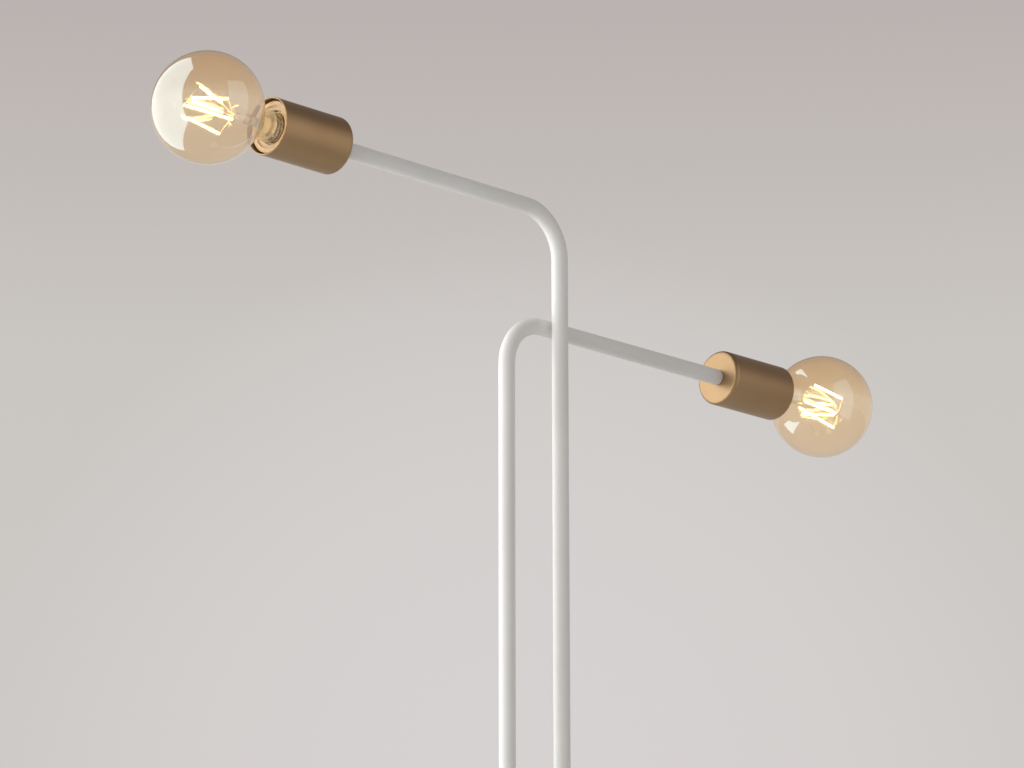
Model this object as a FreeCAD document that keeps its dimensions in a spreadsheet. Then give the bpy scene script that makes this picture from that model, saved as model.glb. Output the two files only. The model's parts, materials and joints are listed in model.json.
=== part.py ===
import FreeCAD, Part
import math
import os
import re

import Sketcher

# A free-standing floor lamp with two poles on one round base. The taller pole bends over to
# the left and the shorter one to the right, and each arm ends in a cup-shaped lampholder
# cover with a large globe bulb. Millimetres, +Z up, origin at the middle of the base's
# underside, +X along the lower arm, +Y to the back.

Vector = FreeCAD.Vector
Rotation = FreeCAD.Rotation
Constraint = Sketcher.Constraint

SIZES = {
    # the whole lamp
    "upper_arm_height": 1500.0,     # floor to the upper arm's axis
    "arm_drop": 102.0,              # the lower arm's axis lies this far below
    "pole_spacing": 51.0,           # between the poles, measured along the arms
    "arm_gap": 0.5,                 # between the lower arm and the pole that it passes behind
    "arm_reach": 270.0,             # pole axis to the back of the lampholder cover
    "bend_radius": 42.0,            # centre line of each bend
    "tube_od": 14.5,
    "tube_wall": 1.2,
    "lower_tube_length": 720.0,     # base to the joint in each pole
    # threaded joints
    "nipple_od": 10.0,
    "nipple_bore": 7.6,
    "thread_play": 0.05,            # radial play in a threaded or turned fit
    "bush_length": 18.0,
    "nipple_inset": 3.0,            # a nipple stops this far short of its bush's inner end
    "nut_across": 14.0,
    "nut_thickness": 4.0,
    "washer_od": 18.0,
    "washer_thickness": 1.0,
    "collar_od": 24.0,
    "collar_height": 5.0,
    "collar_round": 1.2,
    "collar_play": 0.1,
    # base
    "base_diameter": 280.0,
    "base_height": 32.0,
    "base_edge_height": 19.0,       # where the sloping top meets the rounded edge
    "base_edge_round": 5.0,
    "base_flat_diameter": 84.0,
    "base_sheet": 1.5,
    "skirt_lift": 1.0,              # floor to the cover's lower edge
    "pad_thickness": 2.0,
    "pad_inset": 4.0,
    "plate_thickness": 2.0,
    "plate_play": 0.5,
    "weight_play": 1.0,
    "weight_fall": 0.6,             # the weight's sloping top lies this far under the cover
    "weight_web": 6.0,
    "pocket_diameter": 96.0,
    "channel_width": 12.0,
    "channel_height": 12.0,
    "base_hole_play": 0.2,
    "plate_screw_circle": 220.0,
    "plate_screw_diameter": 5.0,
    "plate_screw_head": 9.6,
    "plate_screw_length": 8.0,      # below the plate's inner face
    "screw_tip_room": 1.0,
    "gland_height": 9.6,
    "gland_body": 7.4,
    "gland_flange": 12.0,
    "gland_flange_thickness": 1.6,
    "gland_length": 8.0,
    "gland_bore": 5.8,
    "gland_nut_across": 10.0,
    "gland_nut_thickness": 3.0,
    "gland_nut_gap": 0.2,           # the flat nut clears the round skirt by this much
    "block_width": 14.0,
    "block_length": 26.0,
    "block_height": 10.0,
    "block_screw_diameter": 3.2,
    "block_screw_length": 2.6,
    "block_pitch": 8.0,
    "lead_od": 5.0,
    "lead_floor_height": 7.5,       # axis of the lead's run across the base
    "lead_base_bend": 9.5,
    # lampholder and its cover
    "cover_diameter": 50.0,
    "cover_length": 77.0,
    "cover_wall": 1.2,
    "cover_back_round": 4.0,
    "cover_lip_round": 0.5,
    "cover_hole_play": 0.15,
    "holder_inset": 3.6,            # the holder's front lies this far inside the cover's mouth
    "holder_diameter": 45.4,
    "holder_wall": 2.65,
    "holder_mouth": 29.2,
    "holder_recess_diameter": 37.0,
    "holder_recess_depth": 2.4,
    "holder_front_wall": 2.0,
    "holder_front_round": 1.2,
    "holder_socket_depth": 13.0,    # rear recess that takes the cap and the core
    "dome_neck_od": 15.0,
    "dome_neck_length": 8.8,
    "dome_cone_length": 7.0,
    "dome_skirt_length": 10.0,
    "dome_wall": 1.6,
    "core_flange": 6.0,
    "core_boss": 8.0,
    "core_boss_diameter": 28.0,
    "shell_sheet": 0.4,
    "shell_play": 0.3,              # between the bulb cap's crests and the threaded shell
    "shell_length": 23.6,
    "shell_base_hole": 18.0,
    "shell_bead": 0.55,
    "contact_gap": 0.3,
    "contact_width": 5.0,
    "contact_sheet": 0.5,
    "contact_reach": 7.5,
    "terminal_width": 6.0,
    "terminal_depth": 6.2,
    "terminal_height": 7.0,
    "terminal_split": 1.6,
    "terminal_screw_diameter": 3.0,
    "terminal_screw_head": 5.0,
    "terminal_head_height": 1.8,
    # bulb
    "globe_diameter": 95.0,
    "bulb_length": 140.0,
    "cap_depth": 26.5,              # the bulb's contact lies this far inside the cover's mouth
    "neck_diameter": 26.6,
    "neck_blend": 24.0,
    "neck_start": 25.4,
    "glass_wall": 0.8,
    "cap_crest": 26.2,
    "cap_bead": 0.8,
    "cap_sheet": 0.4,
    "cap_collar": 27.8,
    "cap_collar_start": 25.0,
    "cap_height": 27.5,
    "cap_crimp": 21.8,
    "thread_pitch": 3.629,
    "thread_start": 7.4,
    "thread_turns": 5,
    "tip_diameter": 9.6,
    "tip_thickness": 1.0,
    "tip_rivet": 3.0,
    "tip_rivet_length": 3.6,
    "insulator_top": 5.0,
    "insulator_foot": 11.0,
    "driver_width": 16.0,
    "driver_height": 15.0,
    "driver_board": 1.2,
    "driver_part": 5.0,
    "stem_flare": 24.4,
    "stem_start": 26.6,
    "stem_wall": 1.0,
    "stem_diameter": 8.0,
    "stem_neck_start": 37.0,
    "stem_press_start": 55.0,
    "stem_top": 64.0,
    "stem_tip": 4.4,
    "filament_diameter": 1.9,
    "filament_start": 73.0,
    "filament_end": 111.5,
    "upper_bulb_turn": 0.0,         # how far each bulb, with its filaments, sits turned
    "lower_bulb_turn": 55.0,
    "wire_diameter": 0.7,
    "wire_gap": 0.5,                # a wire stops this far from the filament's end
    "wire_root": 0.4,               # and starts this far from the middle of its star
    "wire_hub": 116.5,
    "wire_hub_diameter": 3.0,
}

# Each filament's end beside the stem and its far end, measured from the bulb's axis. The cage
# is uneven, as in the photograph.
CAGE = [
    ((10.3, 4.9), (11.2, -11.8)),
    ((11.8, -2.9), (3.6, -2.1)),
    ((1.6, 3.8), (0.6, -2.8)),
    ((-7.9, -9.3), (-0.5, 7.8)),
    ((-16.3, 7.4), (-12.7, 3.4)),
]

# Places and sizes that follow from the ones above.
PLACES = {
    "arm_offset": "(tube_od + arm_gap) / 2",
    "tube_bore": "tube_od - 2 * tube_wall",
    "thread_bore": "nipple_od + 2 * thread_play",
    "base_radius": "base_diameter / 2",
    "base_inner_radius": "base_radius - base_sheet",
    "base_ceiling": "base_height - base_sheet",
    "plate_top": "pad_thickness + plate_thickness",
    "web_bottom": "base_ceiling - weight_web",
    "weight_radius": "base_inner_radius - weight_play",
    "weight_edge_radius": "base_radius - base_edge_round - base_sheet",
    "foot_nut_bottom": "web_bottom - washer_thickness - nut_thickness",
    "foot_nipple_bottom": "foot_nut_bottom - 1",
    "foot_nipple_top": "base_height + bush_length - nipple_inset",
    "pole_joint_height": "base_height + lower_tube_length",
    "bulb_tip_place": "cover_length - cap_depth",
    "globe_radius": "globe_diameter / 2",
    "globe_centre": "bulb_length - globe_radius",
    "holder_front": "cover_length - holder_inset",
    "holder_floor": "holder_front - holder_recess_depth",
    "dome_start": "cover_wall + nut_thickness",
    "dome_cone_start": "dome_start + dome_neck_length",
    "dome_skirt_start": "dome_cone_start + dome_cone_length",
    "dome_end": "dome_skirt_start + dome_skirt_length",
    "holder_radius": "holder_diameter / 2",
    "socket_radius": "holder_radius - holder_wall",
    "dome_radius": "socket_radius - thread_play",
    "core_step": "dome_end + core_flange",
    "core_front": "core_step + core_boss",
    "holder_back": "core_step - holder_socket_depth",
    "shell_radius": "cap_crest / 2 + shell_play",
    "shell_outer": "shell_radius + shell_sheet",
    "cap_root": "cap_crest / 2 - cap_bead",
    "holder_nipple_front": "dome_start + dome_neck_length - 0.5",
    "terminal_start": "dome_end - terminal_height",
}


def linked(text):
    """Point every named size in an expression at its cell."""
    def cell(word):
        name = word.group()
        if name in SIZES:
            return "Sizes." + name
        if name in PLACES:
            return "Places." + name
        return name
    return re.sub(r"[a-z_]+", cell, text)


def fill_sheet(name, rows):
    sheet = doc.addObject("Spreadsheet::Sheet", name)
    for line, (alias, content) in enumerate(rows, 1):
        sheet.set("A%d" % line, alias)
        sheet.set("B%d" % line, content)
        sheet.setAlias("B%d" % line, alias)
    doc.recompute()
    return sheet


def number(text):
    return float(sizes_sheet.evalExpression(linked(text)))


def set_place(piece, x, y, z, facing):
    piece.Placement = FreeCAD.Placement(Vector(), facing)
    for axis, text in zip("xyz", (x, y, z)):
        piece.setExpression("Placement.Base." + axis, linked(text))


def origin_feature(body, role):
    return next(item for item in body.Origin.OriginFeatures if item.Role == role)


def new_body(label):
    body = doc.addObject("PartDesign::Body", label)
    body.Label = label
    return body


def new_sketch(body, name, role):
    sketch = body.newObject("Sketcher::SketchObject", body.Name + "_" + name)
    sketch.AttachmentSupport = [(origin_feature(body, role), "")]
    sketch.MapMode = "FlatFace"
    return sketch


def bind(sketch, constraints, formulas):
    """Add constraints, then tie the ones that have a formula to the sheets."""
    first = sketch.ConstraintCount
    sketch.addConstraint(constraints)
    for index, text in formulas:
        sketch.setExpression("Constraints[%d]" % (first + index), linked(text))


def rounded(corners):
    """Split each corner that has a radius into the two ends of its quarter arc."""
    points = []
    arcs = {}
    for index, corner in enumerate(corners):
        if len(corner) == 2:
            points.append(corner)
            continue
        across, along, radius = corner
        before = corners[index - 1]
        after = corners[(index + 1) % len(corners)]
        ends = []
        for other in (before, after):
            shift_across = number(other[0]) - number(across)
            shift_along = number(other[1]) - number(along)
            if abs(shift_across) > abs(shift_along):
                sign = "+" if shift_across > 0 else "-"
                ends.append(("%s %s (%s)" % (across, sign, radius), along))
            else:
                sign = "+" if shift_along > 0 else "-"
                ends.append((across, "%s %s (%s)" % (along, sign, radius)))
        turn = cross(before, corner, after)
        arcs[len(points)] = (radius, turn)
        points += ends
    return points, arcs


def cross(before, corner, after):
    """+1 where an outline turns left at a corner, -1 where it turns right."""
    ax = number(corner[0]) - number(before[0])
    ay = number(corner[1]) - number(before[1])
    bx = number(after[0]) - number(corner[0])
    by = number(after[1]) - number(corner[1])
    return 1 if ax * by - ay * bx > 0 else -1


def arc_between(start, end, radius, turn):
    """The arc from start to end, turning left (+1) or right (-1) as it goes."""
    chord = end - start
    half = chord.Length / 2
    rise = math.sqrt(max(radius * radius - half * half, 0.0))
    side = Vector(-chord.y, chord.x, 0)
    side.normalize()
    centre = start + chord * 0.5 + side * (rise * turn)
    from_start = math.atan2(start.y - centre.y, start.x - centre.x)
    from_end = math.atan2(end.y - centre.y, end.x - centre.x)
    first, last = (from_start, from_end) if turn > 0 else (from_end, from_start)
    if last < first:
        last += 2 * math.pi
    circle = Part.Circle(centre, Vector(0, 0, 1), radius)
    return Part.ArcOfCircle(circle, first, last)


def draw_outline(sketch, corners, arcs=None):
    """A closed outline whose corners and arcs are all tied to the sheets."""
    points, round_arcs = rounded(corners)
    arcs = round_arcs if arcs is None else arcs
    places = [Vector(number(across), number(along), 0) for across, along in points]
    count = len(points)
    ends = []
    for index in range(count):
        start = places[index]
        end = places[(index + 1) % count]
        if index in arcs:
            radius, turn = arcs[index]
            sketch.addGeometry(arc_between(start, end, number(radius), turn), False)
            ends.append((1, 2) if turn > 0 else (2, 1))
        else:
            sketch.addGeometry(Part.LineSegment(start, end), False)
            ends.append((1, 2))
    constraints = []
    formulas = []
    for index in range(count):
        following = (index + 1) % count
        constraints.append(Constraint("Coincident", index, ends[index][1],
                                      following, ends[following][0]))
    for index, (across, along) in enumerate(points):
        corner = ends[index][0]
        for kind, text, value, line in (("DistanceX", across, places[index].x, -2),
                                        ("DistanceY", along, places[index].y, -1)):
            if text == "0":
                constraints.append(Constraint("PointOnObject", index, corner, line))
            else:
                formulas.append((len(constraints), text))
                constraints.append(Constraint(kind, -1, 1, index, corner, value))
    for index, (radius, turn) in arcs.items():
        formulas.append((len(constraints), radius))
        constraints.append(Constraint("Radius", index, number(radius)))
    bind(sketch, constraints, formulas)


def draw_circles(sketch, circles):
    """Circles given as (x, y, radius), with any of them a formula."""
    for x, y, radius in circles:
        index = sketch.GeometryCount
        centre = Vector(number(x), number(y), 0)
        sketch.addGeometry(Part.Circle(centre, Vector(0, 0, 1), number(radius)), False)
        constraints = [Constraint("Radius", index, number(radius))]
        formulas = [(0, radius)]
        for kind, text, value, line in (("DistanceX", x, centre.x, -2),
                                        ("DistanceY", y, centre.y, -1)):
            if text == "0":
                constraints.append(Constraint("PointOnObject", index, 3, line))
            elif value < 0:
                formulas.append((len(constraints), "-(%s)" % text))
                constraints.append(Constraint(kind, index, 3, -1, 1, -value))
            else:
                formulas.append((len(constraints), text))
                constraints.append(Constraint(kind, -1, 1, index, 3, value))
        bind(sketch, constraints, formulas)


def revolve(body, sketch, kind="PartDesign::Revolution"):
    feature = body.newObject(kind, sketch.Name + "_turned")
    feature.Profile = sketch
    feature.ReferenceAxis = (sketch, ["V_Axis"])
    feature.Angle = 360
    return feature


def turned(label, corners, arcs=None):
    """A piece turned about its own Z axis from an outline of (radius, height) corners."""
    body = new_body(label)
    sketch = new_sketch(body, "outline", "XZ_Plane")
    draw_outline(sketch, corners, arcs)
    revolve(body, sketch)
    return body


def beads(body, radius, start, bead, pitch, count):
    """Rolled thread crests: one round ring repeated along the axis."""
    sketch = new_sketch(body, "bead", "XZ_Plane")
    draw_circles(sketch, [(radius, start, bead)])
    ring = revolve(body, sketch)
    doc.recompute()
    pattern = body.newObject("PartDesign::LinearPattern", body.Name + "_crests")
    pattern.Originals = [ring]
    pattern.Direction = (origin_feature(body, "Z_Axis"), [""])
    pattern.setExpression("Length", linked("%s * (%s - 1)" % (pitch, count)))
    pattern.setExpression("Occurrences", linked(count))
    body.Tip = pattern


def cut_from_plane(body, name, role, draw, depth=None, away=False):
    """A pocket from one of the body's own planes, right through unless it has a depth."""
    doc.recompute()
    volume = body.Shape.Volume
    sketch = new_sketch(body, name, role)
    draw(sketch)
    pocket = body.newObject("PartDesign::Pocket", sketch.Name + "_cut")
    pocket.Profile = sketch
    pocket.Reversed = away
    if depth is None:
        pocket.Type = "ThroughAll"
    else:
        pocket.setExpression("Length", linked(depth))
    doc.recompute()
    if body.Shape.Volume >= volume:
        raise ValueError("%s: %s cuts nothing" % (body.Label, name))
    return pocket


def padded(label, role, draw, length, midplane=False):
    body = new_body(label)
    sketch = new_sketch(body, "outline", role)
    draw(sketch)
    pad = body.newObject("PartDesign::Pad", label + "_pad")
    pad.Profile = sketch
    pad.setExpression("Length", linked(length))
    pad.Midplane = midplane
    return body


def draw_hexagon(sketch, across):
    """A hexagon about the origin, with its flats square to X."""
    half = "(%s) / 2" % across
    corner = "(%s) / 2 / cos(30)" % across
    side = "(%s) / 2 * tan(30)" % across
    radius = number(corner)
    count = 6
    spots = []
    for index in range(count):
        angle = math.radians(30 + 60 * index)
        spots.append(Vector(radius * math.cos(angle), radius * math.sin(angle), 0))
    first = sketch.GeometryCount
    for index in range(count):
        sketch.addGeometry(Part.LineSegment(spots[index], spots[(index + 1) % count]), False)
    constraints = []
    for index in range(count):
        constraints.append(Constraint("Coincident", first + index, 2,
                                      first + (index + 1) % count, 1))
    formulas = []

    def measure(kind, index, text, value):
        formulas.append((len(constraints), text))
        if value > 0:
            constraints.append(Constraint(kind, -1, 1, first + index, 1, value))
        else:
            constraints.append(Constraint(kind, first + index, 1, -1, 1, -value))

    for index in (0, 2, 3, 5):
        measure("DistanceX", index, half, spots[index].x)
        measure("DistanceY", index, side, spots[index].y)
    for index in (1, 4):
        constraints.append(Constraint("PointOnObject", first + index, 1, -2))
        measure("DistanceY", index, corner, spots[index].y)
    bind(sketch, constraints, formulas)


def hex_nut(label, across, hole, thickness):
    def outline(sketch):
        draw_hexagon(sketch, across)
        draw_circles(sketch, [("0", "0", hole)])
    return padded(label, "XY_Plane", outline, thickness)


def ring(label, outer, inner, height):
    return turned(label, [(inner, "0"), (outer, "0"), (outer, height), (inner, height)])


def bent_rod(label, start, bends, end, radii):
    """A rod or tube swept along straight runs and quarter arcs in its own XZ plane.

    bends holds (x, z, radius) for each square corner of the route.
    """
    body = new_body(label)
    path = new_sketch(body, "path", "XZ_Plane")
    stations = [start] + [(x, z) for x, z, radius in bends] + [end]
    spots = [Vector(number(x), number(z), 0) for x, z in stations]
    runs = []
    for index in range(len(spots) - 1):
        ahead = spots[index + 1] - spots[index]
        ahead.normalize()
        trim_start = number(bends[index - 1][2]) if index > 0 else 0.0
        trim_end = number(bends[index][2]) if index < len(bends) else 0.0
        runs.append((spots[index] + ahead * trim_start, spots[index + 1] - ahead * trim_end))
    geometry = []
    for index, (first, last) in enumerate(runs):
        geometry.append(Part.LineSegment(first, last))
        if index < len(bends):
            turn = cross(stations[index], stations[index + 1], stations[index + 2])
            radius = number(bends[index][2])
            geometry.append(arc_between(last, runs[index + 1][0], radius, turn))
    path.addGeometry(geometry, False)
    constraints = []
    formulas = []
    for index, (x, z, radius) in enumerate(bends):
        line, arc, following = 2 * index, 2 * index + 1, 2 * index + 2
        turn = cross(stations[index], stations[index + 1], stations[index + 2])
        entry, leave = (1, 2) if turn > 0 else (2, 1)
        constraints.append(Constraint("Tangent", line, 2, arc, entry))
        constraints.append(Constraint("Tangent", arc, leave, following, 1))
        formulas.append((len(constraints), radius))
        constraints.append(Constraint("Radius", arc, number(radius)))

    def fix(line, point, x, z, value):
        for kind, text, place, axis in (("DistanceX", x, value.x, -2),
                                        ("DistanceY", z, value.y, -1)):
            if text == "0":
                constraints.append(Constraint("PointOnObject", line, point, axis))
            elif text:
                formulas.append((len(constraints), text))
                constraints.append(Constraint(kind, -1, 1, line, point, place))

    last_line = 2 * len(bends)
    for index in range(len(bends) + 1):
        upright = abs(spots[index + 1].x - spots[index].x) < 1e-6
        constraints.append(Constraint("Vertical" if upright else "Horizontal", 2 * index))
        if 0 < index < len(bends):
            fixed = (stations[index][0], "") if upright else ("", stations[index][1])
            fix(2 * index, 1, fixed[0], fixed[1], runs[index][0])
    fix(0, 1, start[0], start[1], spots[0])
    fix(last_line, 2, end[0], end[1], spots[-1])
    bind(path, constraints, formulas)
    upright_start = abs(spots[1].x - spots[0].x) < 1e-6
    profile = new_sketch(body, "section", "XY_Plane" if upright_start else "YZ_Plane")
    if upright_start:
        centre = (start[0], "0")
        profile.setExpression("AttachmentOffset.Base.z", linked(start[1]))
    else:
        centre = ("0", start[1])
        profile.setExpression("AttachmentOffset.Base.z", linked(start[0]))
    draw_circles(profile, [(centre[0], centre[1], radius) for radius in radii])
    pipe = body.newObject("PartDesign::AdditivePipe", label + "_sweep")
    pipe.Profile = profile
    pipe.Spine = (path, ["Edge%d" % (index + 1) for index in range(len(geometry))])
    doc.recompute()
    length = sum(edge.Length for edge in path.Shape.Edges)
    section = [math.pi * number(radius) ** 2 for radius in radii]
    area = section[0] - sum(section[1:])
    ratio = body.Shape.Volume / (area * length)
    print("%s: %.1f mm long, volume / (section x length) %.5f" % (label, length, ratio))
    return body


def rod_between(name, start, end, diameter):
    """A plain round rod from one point to another, as a Part cylinder."""
    rod = doc.addObject("Part::Cylinder", name)
    rod.setExpression("Radius", linked(diameter + " / 2"))
    rod.Height = (end - start).Length
    rod.Placement = FreeCAD.Placement(start, Rotation(Vector(0, 0, 1), end - start))
    return rod


def group(label, members):
    """Several loose solids that share one node."""
    joined = doc.addObject("Part::Compound", label)
    joined.Label = label
    joined.Links = members
    return joined


def node(piece):
    nodes.append(piece)
    return piece


UP = Rotation()
TO_BACK = Rotation(Vector(1, 0, 0), -90)


class Side:
    """One pole with its arm: where it stands and which way it points."""

    def __init__(self, name, arm, height):
        self.name = name
        self.arm = arm
        self.height = height
        self.pole_x = "%d * pole_spacing / 2" % -arm
        self.pole_y = "%d * arm_offset" % arm
        self.around = Rotation(Vector(0, 0, 1), 0 if arm > 0 else 180)
        self.outward = Rotation(Vector(0, 1, 0), 90 * arm)

    def along(self, text):
        """World X of a place that lies so far out from the pole's axis."""
        return "%d * ((%s) - pole_spacing / 2)" % (self.arm, text)

    def on_pole(self, piece, height):
        set_place(piece, self.pole_x, self.pole_y, height, self.around)
        return piece

    def on_arm(self, piece, distance):
        set_place(piece, self.along(distance), self.pole_y, self.height, self.outward)
        return piece

    def in_cover(self, piece, depth="0"):
        return self.on_arm(piece, "arm_reach + (%s)" % depth)

    def in_bulb(self, piece, depth="0"):
        return self.on_arm(piece, "arm_reach + bulb_tip_place + (%s)" % depth)


SIDES = [
    Side("upper", -1, "upper_arm_height"),
    Side("lower", 1, "upper_arm_height - arm_drop"),
]


# ---- base ----

def base_cover():
    cover = turned("base_cover", [
        ("0", "base_ceiling"),
        ("base_flat_diameter / 2", "base_ceiling"),
        ("base_radius - base_edge_round", "base_edge_height - base_sheet"),
        ("base_inner_radius", "base_edge_height - base_edge_round"),
        ("base_inner_radius", "skirt_lift"),
        ("base_radius", "skirt_lift"),
        ("base_radius", "base_edge_height - base_edge_round"),
        ("base_radius - base_edge_round", "base_edge_height"),
        ("base_flat_diameter / 2", "base_height"),
        ("0", "base_height"),
    ], {2: ("base_edge_round - base_sheet", -1), 6: ("base_edge_round", 1)})
    cut_from_plane(cover, "pole_holes", "XY_Plane", pole_holes, away=True)

    def cord_hole(sketch):
        draw_circles(sketch, [("0", "gland_height", "gland_body / 2 + thread_play")])
    cut_from_plane(cover, "cord_hole", "XZ_Plane", cord_hole)
    return cover


def pole_holes(sketch):
    hole = "nipple_od / 2 + base_hole_play"
    for side in SIDES:
        draw_circles(sketch, [(side.pole_x, side.pole_y, hole)])


def base_weight():
    weight = turned("base_weight", [
        ("0", "web_bottom"),
        ("pocket_diameter / 2", "web_bottom"),
        ("pocket_diameter / 2", "plate_top"),
        ("weight_radius", "plate_top"),
        ("weight_radius", "base_edge_height - base_edge_round - weight_fall"),
        ("weight_edge_radius", "base_edge_height - base_sheet - weight_fall"),
        ("base_flat_diameter / 2 - weight_play", "base_ceiling"),
        ("0", "base_ceiling"),
    ])
    cut_from_plane(weight, "pole_holes", "XY_Plane", pole_holes, away=True)

    def channel(sketch):
        half = "channel_width / 2"
        draw_box(sketch, half, "pocket_diameter / 2 - channel_width", "base_radius")
    cut_from_plane(weight, "cord_channel", "XY_Plane", channel,
                   depth="plate_top + channel_height", away=True)

    def screw_holes(sketch):
        draw_ring_of_holes(sketch, "plate_screw_diameter / 2 + thread_play")
    cut_from_plane(weight, "screw_holes", "XY_Plane", screw_holes,
                   depth="plate_top + plate_screw_length + screw_tip_room", away=True)
    return weight


def draw_box(sketch, half, near, far):
    """A rectangle centred on X = 0, from near to far along Y."""
    x = number(half)
    y0 = number(near)
    y1 = number(far)
    spots = [Vector(-x, y0, 0), Vector(x, y0, 0), Vector(x, y1, 0), Vector(-x, y1, 0)]
    for index in range(4):
        sketch.addGeometry(Part.LineSegment(spots[index], spots[(index + 1) % 4]), False)
    constraints = [Constraint("Coincident", index, 2, (index + 1) % 4, 1) for index in range(4)]
    constraints += [Constraint("Horizontal", 2), Constraint("Vertical", 1), Constraint("Vertical", 3)]
    constraints.append(Constraint("Symmetric", 0, 1, 0, 2, -2))
    formulas = [(len(constraints), "2 * (%s)" % half)]
    constraints.append(Constraint("DistanceX", 0, 1, 0, 2, 2 * x))
    formulas.append((len(constraints), near))
    constraints.append(Constraint("DistanceY", -1, 1, 0, 1, y0))
    formulas.append((len(constraints), far))
    constraints.append(Constraint("DistanceY", -1, 1, 2, 1, y1))
    bind(sketch, constraints, formulas)


SCREW_ANGLES = (30, 150, 270)


def draw_ring_of_holes(sketch, radius):
    for angle in SCREW_ANGLES:
        x = "plate_screw_circle / 2 * cos(%d)" % angle
        y = "plate_screw_circle / 2 * sin(%d)" % angle
        draw_circles(sketch, [(x if angle != 270 else "0", y, radius)])


def base_plate():
    plate = doc.addObject("Part::Cylinder", "base_plate_disc")
    plate.setExpression("Radius", linked("base_inner_radius - plate_play"))
    plate.setExpression("Height", linked("plate_thickness"))
    set_place(plate, "0", "0", "pad_thickness", UP)
    sinks = []
    for angle in SCREW_ANGLES:
        sink = doc.addObject("Part::Cone", "base_plate_sink")
        sink.setExpression("Radius1", linked("plate_screw_head / 2 + thread_play"))
        sink.setExpression("Radius2", linked("plate_screw_diameter / 2 + thread_play"))
        sink.setExpression("Height", linked("plate_thickness"))
        on_screw_circle(sink, angle)
        sinks.append(sink)
    cut = doc.addObject("Part::Cut", "base_plate")
    cut.Base = plate
    cut.Tool = group("base_plate_sinks", sinks)
    cut.Label = "base_plate"
    return cut


def on_screw_circle(piece, angle):
    x = "plate_screw_circle / 2 * cos(%d)" % angle
    y = "plate_screw_circle / 2 * sin(%d)" % angle
    set_place(piece, x, y, "pad_thickness", UP)
    return piece


def plate_screws():
    screws = []
    for index, angle in enumerate(SCREW_ANGLES):
        screw = turned("plate_screw_%d" % index, [
            ("0", "0"),
            ("plate_screw_head / 2", "0"),
            ("plate_screw_diameter / 2", "plate_thickness"),
            ("plate_screw_diameter / 2", "plate_thickness + plate_screw_length"),
            ("0", "plate_thickness + plate_screw_length"),
        ])
        screws.append(on_screw_circle(screw, angle))
    return group("base_plate_screws", screws)


def base_pad():
    pad = doc.addObject("Part::Cylinder", "base_pad")
    pad.setExpression("Radius", linked("base_radius - pad_inset"))
    pad.setExpression("Height", linked("pad_thickness"))
    return pad


def cord_gland():
    gland = turned("cord_gland", [
        ("gland_bore / 2", "0"),
        ("gland_body / 2", "0"),
        ("gland_body / 2", "gland_length - gland_flange_thickness"),
        ("gland_flange / 2", "gland_length - gland_flange_thickness"),
        ("gland_flange / 2", "gland_length", "gland_flange_thickness / 2"),
        ("gland_bore / 2", "gland_length"),
    ])
    set_place(gland, "0", "base_radius + gland_flange_thickness - gland_length",
              "gland_height", TO_BACK)
    return gland


def cord_gland_nut():
    nut = hex_nut("cord_gland_nut", "gland_nut_across", "gland_body / 2 + thread_play",
                  "gland_nut_thickness")
    set_place(nut, "0", "base_inner_radius - gland_nut_thickness - gland_nut_gap",
              "gland_height", Rotation(Vector(1, 0, 0), -90) * Rotation(Vector(0, 0, 1), 90))
    return nut


def terminal_block():
    def outline(sketch):
        draw_box(sketch, "block_width / 2", "0", "block_length")
    block = padded("terminal_block", "XY_Plane", outline, "block_height")
    for index in (-1, 0, 1):
        def hole(sketch, place=index):
            spot = "block_length / 2 + %d * block_pitch" % place
            draw_circles(sketch, [("0", spot, "block_screw_diameter / 2 + thread_play")])
        sketch_name = "screw_hole_%s" % ("abc"[index + 1])
        cut_from_top(block, sketch_name, hole)
    set_place(block, "0", "-block_length / 2", "plate_top", UP)
    return block


def cut_from_top(block, name, draw):
    """A blind hole down from the terminal block's top face."""
    doc.recompute()
    sketch = new_sketch(block, name, "XY_Plane")
    sketch.setExpression("AttachmentOffset.Base.z", linked("block_height"))
    draw(sketch)
    pocket = block.newObject("PartDesign::Pocket", sketch.Name + "_cut")
    pocket.Profile = sketch
    pocket.setExpression("Length", linked("block_screw_length + thread_play"))
    return pocket


def terminal_block_screws():
    screws = []
    for index in (-1, 0, 1):
        screw = doc.addObject("Part::Cylinder", "terminal_block_screw")
        screw.setExpression("Radius", linked("block_screw_diameter / 2"))
        screw.setExpression("Height", linked("block_screw_length"))
        set_place(screw, "0", "%d * block_pitch" % index,
                  "plate_top + block_height - block_screw_length", UP)
        screws.append(screw)
    return group("terminal_block_screws", screws)


# ---- poles ----

def nipple(label, length):
    return ring(label, "nipple_od / 2", "nipple_bore / 2", length)


def thread_bush(label):
    return ring(label, "tube_bore / 2", "thread_bore / 2", "bush_length")


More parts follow.
